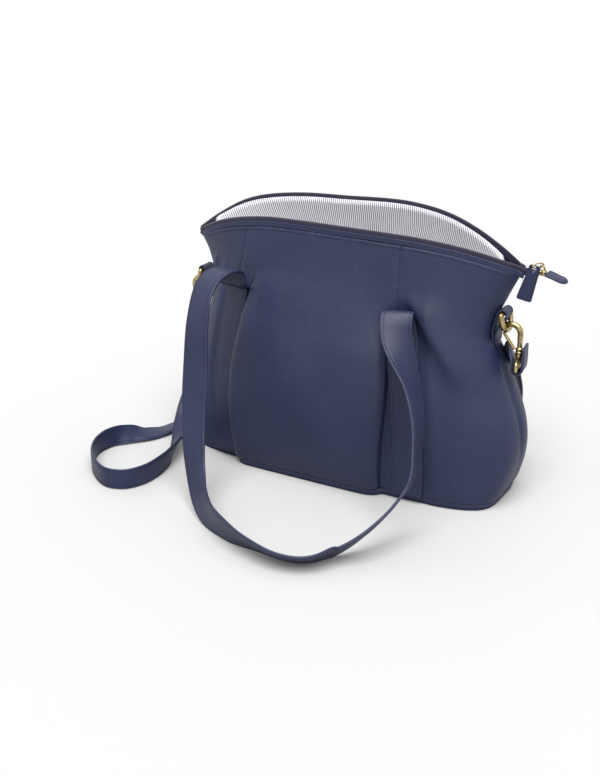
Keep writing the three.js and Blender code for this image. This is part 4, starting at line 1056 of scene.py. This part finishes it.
STRAP = leather_finish("strap_leather", dark=(0.0066, 0.0094, 0.0325), light=(0.0104, 0.0142, 0.044),
                       worn=(0.02, 0.026, 0.06), roughness=0.46)
THREAD, tree, shader, place = new_finish("thread", 0.6)
twist = node(tree, "TexNoise", {}, Vector=place, Scale=2500.0, Detail=1.0)
tree.links.new(mix(tree, twist.outputs["Fac"], (0.002, 0.003, 0.009, 1), (0.008, 0.010, 0.026, 1)),
               shader.inputs["Base Color"])
handle_profile = strap_profile(HANDLE_WIDTH, HANDLE_THICK, STITCH_INSET)
leg_span = NOMINAL_HEIGHT - LEG_BELOW_MOUTH - PANEL_BOTTOM
leg_ups = PANEL_BOTTOM + np.linspace(0, SEWN_SHARE, SEWN_STEPS) * leg_span
# The places of the section that lie under its four stitch rows, two on each face.
from_row = np.abs(np.abs(handle_profile[:, 0]) - (HANDLE_WIDTH / 2 - STITCH_INSET))
row_places = [first + place for first in (0, len(handle_profile) // 2)
              for place in np.argsort(from_row[first:first + FACE_PLACES])[:2]]
for side in ("front", "back"):
    legs = {}
    for leg, direction in (("leg_left", 1), ("leg_right", -1)):
        x = column(LINES, leg, leg_ups)[:, None] + direction * handle_profile[None, :, 0]
        here, normal = wall_with_normal(side, x, leg_ups[:, None])
        lift = SEWN_GAP + HANDLE_THICK / 2 + FACING[side] * handle_profile[None, :, 1:]
        legs[leg] = here + normal * lift
    legs["leg_right"] = legs["leg_right"][::-1]
    free = FREE_LOOPS[side]
    ends = [legs["leg_left"][-1].mean(axis=0), legs["leg_right"][0].mean(axis=0)]
    rows = np.concatenate([[[*ends[0], *free[0, 3:]]], free, [[*ends[1], *free[-1, 3:]]]])
    middle, across, through = strap_frames(rows, STRAP_STEP, HANDLE_EASE)
    loops = carry(handle_profile, middle, across, through)[1:-1]
    whole = np.concatenate([legs["leg_left"], loops, legs["leg_right"]])
    handle = closed_loft(f"handle_{side}_leather", whole, edge=edge_wear(handle_profile, HANDLE_WIDTH))
    handle.data.materials.append(STRAP)
    lines_on = [whole[:, place] for place in row_places]
    core = whole.mean(axis=1)
    sidewards = unit(whole[:, FACE_PLACES - 1] - whole[:, 0])
    out = [line - core for line in lines_on]
    out = [unit(way - np.sum(way * sidewards, axis=-1, keepdims=True) * sidewards) for way in out]
    stitches = stitch_rows(f"handle_{side}_stitches", lines_on, out)
    stitches.data.materials.append(THREAD)
    for piece in (handle, stitches):
        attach(piece, "root")
    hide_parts(f"handle_{side}")

# Topstitching: a row of the same thread through the walls' turned top edges, close under the mouth bands.
# It runs from side seam to side seam and dips a little towards the right end.
TOPSTITCH = {"from": -204, "to": 199, "below": 2.7, "dip": 1.5, "dips_from": 120, "dip_reach": 80}
TOPSTITCH_POINTS = 400
for side in ("front", "back"):
    stitch_x = np.linspace(TOPSTITCH["from"], TOPSTITCH["to"], TOPSTITCH_POINTS)
    dip = TOPSTITCH["dip"] * smoothstep((stitch_x - TOPSTITCH["dips_from"]) / TOPSTITCH["dip_reach"])
    line, normal = wall_with_normal(side, stitch_x, PANEL_TOP - TOPSTITCH["below"] - dip)
    topstitches = stitch_rows(f"topstitches_{side}", [line], [normal])
    topstitches.data.materials.append(THREAD)
    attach(topstitches, "root")

# Tabs for the rings: a narrow leather strip at each side seam, folded over the ring's bar, with both its
# ends sewn into the seam.
RING_TOP = (187.5, 221.5)
RING_LOW = (192, 202.5)
# For each side: the mirroring of X, the shift along it, the drop, and the hook's swing from the ring.
SIDES = {"right": (1, 0, 0, 0), "left": (-1, -17, 8, np.radians(12))}
TAB_WIDTH = 20
TAB_THICK = 1.8
TAB_STEP = 0.8
TAB_STITCH_INSET = 2.2
TAB_FOLD_RADIUS = 3.9
TAB_FOLD = np.radians([162, 135, 108, 81, 54, 27, 0, -22])
TAB_LINE = np.array([
    (178.7, 189), (177.8, 203),
    *zip(RING_TOP[0] + (TAB_FOLD_RADIUS + TAB_THICK / 2) * np.cos(TAB_FOLD),
         RING_TOP[1] + (TAB_FOLD_RADIUS + TAB_THICK / 2) * np.sin(TAB_FOLD)),
    (187.6, 211.5), (183.2, 204.5), (181.6, 197), (181.2, 188),
])


def face_lines(middle, across, through, place, height):
    """Four lines along a strap, one near each edge of each face, with their outward directions."""
    lines_on = []
    outwards = []
    for across_by in (-place, place):
        for face_side in (-1, 1):
            lines_on.append(middle + across_by * across + face_side * height * through)
            outwards.append(face_side * through)
    return lines_on, outwards


def put_on_side(points, hand, swings=False):
    """Points of the right side moved to their own side: turned about the ring's low point where they
    swing, then mirrored across X and shifted."""
    mirror, shift, drop, swing = SIDES[hand]
    moved = np.array(points, float)
    if swings:
        x = moved[..., 0] - RING_LOW[0]
        z = moved[..., 2] - RING_LOW[1]
        moved[..., 0] = RING_LOW[0] + x * np.cos(swing) + z * np.sin(swing)
        moved[..., 2] = RING_LOW[1] - x * np.sin(swing) + z * np.cos(swing)
    moved[..., 0] = mirror * moved[..., 0] + shift
    moved[..., 2] -= drop
    return moved


none = 0 * TAB_LINE[:, 0]
tab_table = np.stack([TAB_LINE[:, 0], none, TAB_LINE[:, 1], 90 + none, none], -1)
tab_profile = strap_profile(TAB_WIDTH, TAB_THICK)
tab_middle, tab_across, tab_through = strap_frames(tab_table, TAB_STEP)
tab_loops = carry(tab_profile, tab_middle, tab_across, tab_through)
tab_lines, tab_outwards = face_lines(tab_middle, tab_across, tab_through, TAB_WIDTH / 2 - TAB_STITCH_INSET,
                                     TAB_THICK / 2)
for hand in SIDES:
    loops = put_on_side(tab_loops, hand)
    tab = closed_loft(f"ring_tab_{hand}_leather", loops, edge=edge_wear(tab_profile, TAB_WIDTH))
    tab.data.materials.append(STRAP)
    lines_on = [put_on_side(line, hand) for line in tab_lines]
    ends_on = [put_on_side(line + outward, hand) for line, outward in zip(tab_lines, tab_outwards)]
    out = [end - line for line, end in zip(lines_on, ends_on)]
    stitches = stitch_rows(f"ring_tab_{hand}_stitches", lines_on, out, radius=0.3, pitch=3.0, length=2.2)
    stitches.data.materials.append(THREAD)
    for piece in (tab, stitches):
        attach(piece, "root")
    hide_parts(f"ring_tab_{hand}")

# Rings, hooks, gates and eyes: aged brass. The D rings are bent wire, the snap hooks are cast with a
# turned barrel, and each barrel holds a swivel eye that the long strap is sewn round.
RING_WIRE = 2.9
RING_HALF_WIDTH = 13.2
RING_SIDE_POWER = 0.7
RING_BAR_CROWN = 0.04
RING_BOW_POWER = 0.9
WIRE_SIDES = 24
RING_STEPS = 120
# Rows of x and z from the ring's low point, and of the wire's radius there.
HOOK_ROWS = np.array([
    (-5.7, -2.5, 1.2), (-5.7, -1.6, 2.2), (-5.5, 1, 2.7), (-3.9, 4.4, 2.9), (-0.5, 6, 3), (6, 6.8, 3.2),
    (10.6, 5, 3.3), (13.6, 1.2, 3.3), (14.7, -4, 3.2), (14.6, -9, 3), (14.6, -14, 2.8), (14.5, -18, 2.8),
    (14.5, -18.9, 3.4), (14.5, -19.6, 4.3), (14.5, -21, 4.3), (14.5, -21.7, 3.7), (14.5, -22.5, 3.7),
    (14.5, -23.2, 4.2), (14.5, -27, 4.2), (14.5, -28.4, 4.3), (14.5, -29, 3.9), (14.5, -29.4, 3.0),
])
GATE_ROWS = np.array([(-4.9, -3.9, 1.2), (-4.3, -4.7, 1.8), (0, -10.3, 1.8), (2.2, -13.2, 2.0),
                      (8.0, -20.9, 1.8), (8.6, -21.7, 1.2)])
EYE_WIRE = 2.2
EYE = {"x": 14.5, "top": -32.5, "bottom": -42.5, "half_width": 15.2, "corner": 4}
EYE_STEPS = 96
EYE_TURN = np.radians(9)
OFF_AXIS = 0.01
STEM_ROWS = np.array([(14.5, -29.7, 2.8), (14.5, -31, 2.8), (14.5, -33, 2.9), (14.5, -34.3, 2.2)])
ACROSS_Y = np.array([0, 1.0, 0])


def wire(path, radii, normal, ring=False):
    """A round wire: circles across a path that lies in one plane, each with its own radius."""
    if ring:
        along = unit(np.roll(path, -1, axis=0) - np.roll(path, 1, axis=0))
    else:
        along = unit(np.gradient(path, axis=0))
    side = unit(np.cross(along, normal))
    turn = once_round(WIRE_SIDES)
    circle = np.cos(turn)[None, :, None] * side[:, None] + np.sin(turn)[None, :, None] * normal
    return path[:, None] + np.broadcast_to(radii, len(path))[:, None, None] * circle


def plane_route(rows, per_row=6):
    """A smooth wire path in the XZ plane through rows of x, z and radius."""
    path = np.stack([rows[:, 0], 0 * rows[:, 0], rows[:, 1]], -1)
    radii = np.interp(np.arange((len(rows) - 1) * per_row + 1) / per_row, np.arange(len(rows)), rows[:, 2])
    return route(path, per_row), radii


BRASS, tree, shader, place = new_finish("aged_brass", 0.3, metallic=1.0)
patina = node(tree, "TexNoise", {}, Vector=place, Scale=160.0, Detail=5.0, Roughness=0.6)
stain = node(tree, "MapRange", {}, Value=patina.outputs["Fac"], From_Min=0.35, From_Max=0.68)
tree.links.new(mix(tree, stain.outputs["Result"], (0.20, 0.145, 0.06, 1), (0.52, 0.42, 0.21, 1)),
               shader.inputs["Base Color"])
dull = node(tree, "MapRange", {}, Value=patina.outputs["Fac"], To_Min=0.42, To_Max=0.2)
tree.links.new(dull.outputs["Result"], shader.inputs["Roughness"])
scratch = node(tree, "TexNoise", {}, Vector=place, Scale=900.0, Detail=4.0)
add_bumps(tree, shader, scratch.outputs["Fac"], strength=0.12, depth=0.0002)
low_point = np.array([RING_LOW[0], 0, RING_LOW[1]])
# The ring's outline: a nearly straight bar at the top, in the tab's fold, and a round bow below it.
ring_up = np.array([RING_TOP[0] - RING_LOW[0], 0, RING_TOP[1] - RING_LOW[1]], float)
ring_normal = unit(np.array([ring_up[2], 0, -ring_up[0]]))
turn = once_round(RING_STEPS)
sine = np.abs(np.sin(turn))
ring_rise = np.where(turn < np.pi, 1 - RING_BAR_CROWN * (1 - sine), 1 - sine**RING_BOW_POWER)
ring_path = low_point + ring_rise[:, None] * ring_up
ring_path[:, 1] = RING_HALF_WIDTH * signed_power(np.cos(turn), RING_SIDE_POWER)
# The eye's outline: four quarter circles, joined by straight stretches. The signs are taken a little off
# the axes, where neither is 0.
turn = once_round(EYE_STEPS)
eye_flat_y = EYE["half_width"] - EYE["corner"]
eye_flat_z = (EYE["top"] - EYE["bottom"]) / 2 - EYE["corner"]
eye_path = np.stack([
    EYE["x"] + 0 * turn,
    eye_flat_y * np.sign(np.cos(turn + OFF_AXIS)) + EYE["corner"] * np.cos(turn),
    (EYE["top"] + EYE["bottom"]) / 2 + eye_flat_z * np.sign(np.sin(turn + OFF_AXIS))
    + EYE["corner"] * np.sin(turn),
], -1)
hook_path, hook_radii = plane_route(HOOK_ROWS)
gate_path, gate_radii = plane_route(GATE_ROWS)
stem_path, stem_radii = plane_route(STEM_ROWS)
hardware = {
    "ring": wire(ring_path, RING_WIRE, ring_normal, ring=True),
    "hook": wire(low_point + hook_path, hook_radii, ACROSS_Y),
    "hook_gate": wire(low_point + gate_path, gate_radii, ACROSS_Y),
    "hook_eye": wire(low_point + eye_path, EYE_WIRE, np.array([1.0, 0, 0]), ring=True),
}
stem_loops = wire(low_point + stem_path, stem_radii, ACROSS_Y)


def turn_with_eye(points, share):
    """Points turned about the right eye's stem, by a share of the angle that the swivel has turned."""
    angle = EYE_TURN * share
    centre_x = RING_LOW[0] + EYE["x"]
    x, y = points[..., 0] - centre_x, points[..., 1]
    return np.stack([centre_x + x * np.cos(angle) - y * np.sin(angle), x * np.sin(angle) + y * np.cos(angle),
                     points[..., 2]], -1)


for hand in SIDES:
    for kind, loops in hardware.items():
        name = f"{kind}_{hand}"
        if name == "hook_eye_right":
            loops = turn_with_eye(loops, 1)
        metal = closed_loft(f"{name}_wire", put_on_side(loops, hand, swings=kind != "ring"),
                            ring=kind in ("ring", "hook_eye"))
        metal.data.materials.append(BRASS)
        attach(metal, "root")
        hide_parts(name)
    stem = closed_loft(f"hook_stem_{hand}", put_on_side(stem_loops, hand, swings=True))
    stem.data.materials.append(BRASS)
    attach(stem, "root")

# Long strap: a double strip of the same leather, 25 mm wide, stitched near both edges. Each end goes
# through its hook's eye and back on itself. It lies in a loop on the floor at the left, and behind the
# bag it runs along the floor and climbs round the shoulder to the right hook.
STRAP_WIDTH = 25
STRAP_THICK = 3
LONG_STITCH_INSET = 2.6
LONG_STRAP_STEP = 2.5
LONG_STRAP_EASE = 1.3
# Rows as in the handles' loops, from the left hook's eye to the right one's.
LONG_STRAP = np.array([
    (-210.3, 0, 118, 90, 0), (-210.3, 0, 135, 90, 0), (-210.3, 0, 150, 90, 0), (-211.5, 0, 152.7, 90, 0),
    (-214.3, 0, 153.9, 90, 0), (-217.1, 0, 152.7, 90, 0), (-218.3, 0, 150, 90, 0), (-218.6, 0, 125, 90, 0),
    (-219.2, -1, 92, 86, 0), (-219.5, -9, 62, 70, 0), (-218, -29, 40, 46, 4), (-211, -54, 24, 20, 14),
    (-200, -79, 14, 8, 36), (-190, -102, 12.4, 5, 66), (-180, -128, 12.7, 5, 84), (-176, -156, 12.8, 5, 90),
    (-178, -182, 12.8, 5, 90), (-190, -203, 12.8, 5, 90), (-211, -209, 12.8, 5, 90),
    (-236, -197, 12.8, 5, 90), (-260, -174, 12.8, 5, 90), (-276, -144, 12.8, 5, 90),
    (-277, -116, 12.6, 150, 80), (-266, -92, 10.6, 150, 48), (-252, -68, 4.9, 152, 14),
    (-242, -38, 3.6, 160, -8), (-236, -4, 7.2, 168, -26), (-230, 34, 10.8, 170, -52),
    (-214, 72, 12.6, 165, -82),
    (-180, 97, 12.8, 120, 90), (-120, 106, 12.8, 90, 90), (-40, 110, 12.8, 90, 90), (40, 112, 12.8, 90, 90),
    (104, 116, 12.8, 60, 84), (146, 114, 24, 45, 50), (164, 103, 52, 40, 16), (171, 87, 92, 36, -6),
    (174, 66, 127, 40, -36), (180, 48, 153, 52, -58), (185, 36, 163, 66, -56), (189.5, 24, 169.5, 88, -44),
    (194, 13, 172.5, 100, -26), (198.3, 5, 171, 102, -8), (200.8, 1, 167.5, 94, 0), (201.8, 0, 163.5, 90, 0),
    (202, 0, 160, 90, 0), (203.3, 0, 156.8, 90, 0), (206.8, 0, 155.5, 90, 0), (210.3, 0, 156.6, 90, 0),
    (212.2, 0, 159.6, 90, -2), (212.9, 0, 166, 90, -8), (213, 0, 173, 90, -13), (212.9, 0, 186, 90, -15),
])
# The strap has turned over when it comes to this row, so from here on its width points the other way.
TWIST_ENDS = 29
LONG_STRAP[TWIST_ENDS:, 3] += 180
LONG_STRAP[TWIST_ENDS:, 4] *= -1
# After this row it turns with the right eye, in full once so many rows have passed.
EYE_TURN_STARTS = 40
EYE_TURN_ROWS = 4
strap_section = strap_profile(STRAP_WIDTH, STRAP_THICK, LONG_STITCH_INSET)
eye_turn_share = smoothstep((np.arange(len(LONG_STRAP)) - EYE_TURN_STARTS) / EYE_TURN_ROWS)
LONG_STRAP[:, :3] = turn_with_eye(LONG_STRAP[:, :3], eye_turn_share)
LONG_STRAP[:, 3] += np.degrees(EYE_TURN) * eye_turn_share
middle, across, through = strap_frames(LONG_STRAP, LONG_STRAP_STEP, LONG_STRAP_EASE)
loops = carry(strap_section, middle, across, through)
long_strap = closed_loft("long_strap_leather", loops, edge=edge_wear(strap_section, STRAP_WIDTH))
long_strap.data.materials.append(STRAP)
core = loops.mean(axis=1)
lines_on, out = face_lines(core, across, through, STRAP_WIDTH / 2 - LONG_STITCH_INSET,
                           (STRAP_THICK - STITCH_SINK) / 2)
stitches = stitch_rows("long_strap_stitches", lines_on, out)
stitches.data.materials.append(THREAD)
for piece in (long_strap, stitches):
    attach(piece, "root")
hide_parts("long_strap")

# Zip end: the tapes' joined tail, a brass slider with its bridge, a brass link, a leather pull with a
# stitched border that hangs from it, and a stiff stitched leather tab at the zip's end.
TAIL_ROWS = np.array([(MOUTH_RIGHT_END + 0.3, 270.5, 9, 2.4), (213, 272, 5, 5), (220.7, 272, 2.4, 7)])
SLIDER = {"from_x": 221, "to_x": 230, "z": 272, "height": 6, "depth": 7.6}
BRIDGE_ROWS = np.array([(222.4, 274, 0.9), (222.6, 277.4, 0.9), (224, 279.2, 0.9), (226.6, 279.2, 0.9),
                        (228, 277.4, 0.9), (228.2, 274, 0.9)])
LINK = {"at": (222.4, -4.3, 280.2), "heading": -124, "half_length": 7, "half_height": 2.6, "wire": 0.8,
        "pull_turn": -50, "points": 72}
PULL = {"heading": 16, "lean": -14.5, "length": 41, "top_width": 12, "bottom_width": 17, "thick": 2.2,
        "corner": 3, "points": 160}
PULL_HOLE = {"radius": 2.4, "below_top": 3.2}
PULL_BORDER = {"width_share": 0.68, "length_share": 0.9, "drop": 1.2, "low_corner": 5, "points": 120}
END_TAB = {"from_x": 230.3, "to_x": 255, "top_z": 272.5, "slope": 0.3, "width": 17, "thick": 3.2,
           "chamfer": 1, "points": 140}
END_TAB_BORDER = (0.8, 0.74)


def oval_loops(rows, count=32):
    """Loops across X through rows of x, z, height and depth: rounded boxes, as powers of a turn."""
    turn = once_round(count)
    y = signed_power(np.cos(turn), 0.5)[None, :] * rows[:, 3:4] / 2
    z = signed_power(np.sin(turn), 0.5)[None, :] * rows[:, 2:3] / 2 + rows[:, 1:2]
    return np.stack([np.broadcast_to(rows[:, :1], y.shape), y, z], -1)


def rows_between(rows, count):
    """Rows of a table eased between its own rows by a smooth step."""
    places = np.linspace(0, len(rows) - 1, count)
    low = np.minimum(places.astype(int), len(rows) - 2)
    share = smoothstep(places - low)[:, None]
    return rows[low] * (1 - share) + rows[low + 1] * share


tail = closed_loft("zip_tail_cloth", oval_loops(rows_between(TAIL_ROWS, 24)))
tail.data.materials.append(ZIP)
slider_x = np.array([0, 0.06, 0.2, 0.5, 0.8, 0.94, 1])
slider_size = np.array([0.7, 0.92, 1, 0.9, 1, 0.92, 0.7])
slider_rows = np.stack([SLIDER["from_x"] + slider_x * (SLIDER["to_x"] - SLIDER["from_x"]),
                        SLIDER["z"] + 0 * slider_x, SLIDER["height"] * slider_size,
                        SLIDER["depth"] * slider_size], -1)
slider = closed_loft("zip_slider_metal", oval_loops(rows_between(slider_rows, 40)))
bridge_path, bridge_radii = plane_route(BRIDGE_ROWS)
bridge = closed_loft("zip_bridge", wire(bridge_path, bridge_radii, ACROSS_Y))
heading = np.radians(LINK["heading"])
link_along = np.array([np.cos(heading), np.sin(heading), 0])


def link_point(turn):
    """A place on the link, an upright oval round its middle."""
    turn = np.asarray(turn)[..., None]
    return (np.array(LINK["at"]) + LINK["half_length"] * np.cos(turn) * link_along
            + LINK["half_height"] * np.sin(turn) * np.array([0, 0, 1.0]))


link_normal = np.array([-np.sin(heading), np.cos(heading), 0])
link_path = link_point(once_round(LINK["points"]))
link = closed_loft("zip_link_wire", wire(link_path, LINK["wire"], link_normal, ring=True), ring=True)


def at_height(points, height):
    """Points of a plane (n, 2) raised to a height."""
    return np.concatenate([points, np.full((len(points), 1), height)], 1)


def plate(rim, thick, hole=None, rings=6):
    """Loops of a stiff leather plate from its outline (n, 2): a half circle round the edge and, where it
    has a hole, rings that run in from the edge to the hole's rim on both faces."""
    target = np.zeros_like(rim) if hole is None else hole
    radius = thick / 2
    inwards = unit(target - rim)
    start = rim + inwards * radius
    loops = [at_height(start - inwards * radius * np.cos(angle), radius * np.sin(angle))
             for angle in np.linspace(-np.pi / 2, np.pi / 2, 7)]
    if hole is not None:
        faces = [start * (1 - share) + target * share for share in np.linspace(0, 1, rings + 1)[1:]]
        below = [at_height(face, -radius) for face in faces[::-1]]
        above = [at_height(face, radius) for face in faces]
        loops = below + loops + above
    return np.array(loops)


def rounded_outline(points, radius, per_corner=8):
    """An outline with each corner replaced by an arc-like curve: a quadratic between two places that
    lie a radius from the corner."""
    before = np.roll(points, 1, axis=0)
    after = np.roll(points, -1, axis=0)
    start = points + unit(before - points) * radius[:, None]
    end = points + unit(after - points) * radius[:, None]
    t = np.linspace(0, 1, per_corner)[None, :, None]
    curve = (1 - t)**2 * start[:, None] + 2 * t * (1 - t) * points[:, None] + t**2 * end[:, None]
    return curve.reshape(-1, 2)


def resampled(outline_points, count):
    """An outline with evenly spaced points."""
    closed = np.concatenate([outline_points, outline_points[:1]])
    shares = lengths_along(closed) / path_length(closed)
    return pick(closed, np.interp(np.arange(count) / count, shares, np.arange(len(closed))))


def turned(points, axis, angle):
    """Points turned about X, Y or Z by an angle."""
    first, second = {"x": (1, 2), "y": (2, 0), "z": (0, 1)}[axis]
    moved = np.array(points, float)
    moved[..., first] = points[..., first] * np.cos(angle) - points[..., second] * np.sin(angle)
    moved[..., second] = points[..., first] * np.sin(angle) + points[..., second] * np.cos(angle)
    return moved


half_top = PULL["top_width"] / 2
half_low = PULL["bottom_width"] / 2
pull_top = PULL_HOLE["below_top"]
pull_low = pull_top - PULL["length"]
pull_corners = np.array([(-half_top, pull_top), (-half_low, pull_low), (half_low, pull_low),
                         (half_top, pull_top)], float)
pull_rim = resampled(rounded_outline(pull_corners, np.full(4, PULL["corner"])), PULL["points"])
facing = np.arctan2(pull_rim[:, 1], pull_rim[:, 0])
pull_hole = PULL_HOLE["radius"] * np.stack([np.cos(facing), np.sin(facing)], -1)


def place_pull(points):
    """From the pull's own flat to its place: leaned, stood up, turned and hung from the link."""
    hung = turned(turned(points, "z", np.radians(PULL["lean"])), "x", np.pi / 2)
    return turned(hung, "z", np.radians(PULL["heading"])) + link_point(np.radians(LINK["pull_turn"]))


pull = closed_loft("zip_pull_leather", place_pull(plate(pull_rim, PULL["thick"], pull_hole)), ring=True)
border_corners = pull_corners * [PULL_BORDER["width_share"], PULL_BORDER["length_share"]]
border_radii = np.array([PULL["corner"], PULL_BORDER["low_corner"], PULL_BORDER["low_corner"],
                         PULL["corner"]])
pull_border = rounded_outline(border_corners - [0, PULL_BORDER["drop"]], border_radii)
pull_stitch_line = resampled(pull_border, PULL_BORDER["points"])
half_tab = END_TAB["width"] / 2
tab_reach = END_TAB["to_x"] - END_TAB["from_x"]
tip = np.linspace(-np.pi / 2, np.pi / 2, 40)
chamfer = END_TAB["chamfer"]
tab_outline = np.concatenate([
    [[0, half_tab - chamfer], [0, -half_tab + chamfer], [chamfer, -half_tab]],
    np.stack([tab_reach - half_tab + half_tab * np.cos(tip), half_tab * np.sin(tip)], -1),
    [[chamfer, half_tab]],
])
tab_rim = resampled(tab_outline, END_TAB["points"]) - [tab_reach / 2, 0]


def place_end_tab(points):
    """From the end tab's own flat to its place: sloped down away from the bag."""
    moved = points + [tab_reach / 2, 0, END_TAB["thick"] / 2]
    sloped = turned(moved, "y", END_TAB["slope"])
    return sloped + [END_TAB["from_x"], 0, END_TAB["top_z"] - END_TAB["thick"] / 2]


end_tab = closed_loft("zip_end_tab_leather", place_end_tab(plate(tab_rim, END_TAB["thick"])))
tab_stitch_line = tab_rim * END_TAB_BORDER


def ring_of_stitches(name, outline_points, height, place_it):
    """Stitches round both faces of a plate."""
    closed = np.concatenate([outline_points, outline_points[:1]])
    lines_on, out = [], []
    for face_side in (-1, 1):
        line = at_height(closed, face_side * height)
        raised = line + [0, 0, face_side]
        lines_on.append(place_it(line))
        out.append(place_it(raised) - lines_on[-1])
    return stitch_rows(name, lines_on, out, radius=0.3, pitch=2.8, length=2.1)


pull_stitches = ring_of_stitches("zip_pull_stitches", pull_stitch_line, PULL["thick"] / 2, place_pull)
tab_stitches = ring_of_stitches("zip_end_tab_stitches", tab_stitch_line, END_TAB["thick"] / 2, place_end_tab)
for piece, replaced, finish, slot in (
    (tail, "zip_tail", ZIP, "zip_cloth"),
    (slider, "zip_slider", BRASS, "aged_brass"),
    (bridge, None, BRASS, "aged_brass"),
    (link, "zip_link", BRASS, "aged_brass"),
    (pull, "zip_pull", STRAP, "strap_leather"),
    (pull_stitches, None, THREAD, "strap_leather"),
    (end_tab, "zip_end_tab", STRAP, "strap_leather"),
    (tab_stitches, None, THREAD, "strap_leather"),
):
    if not piece.data.materials:
        piece.data.materials.append(finish)
    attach(piece, "root")
    if replaced:
        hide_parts(replaced)
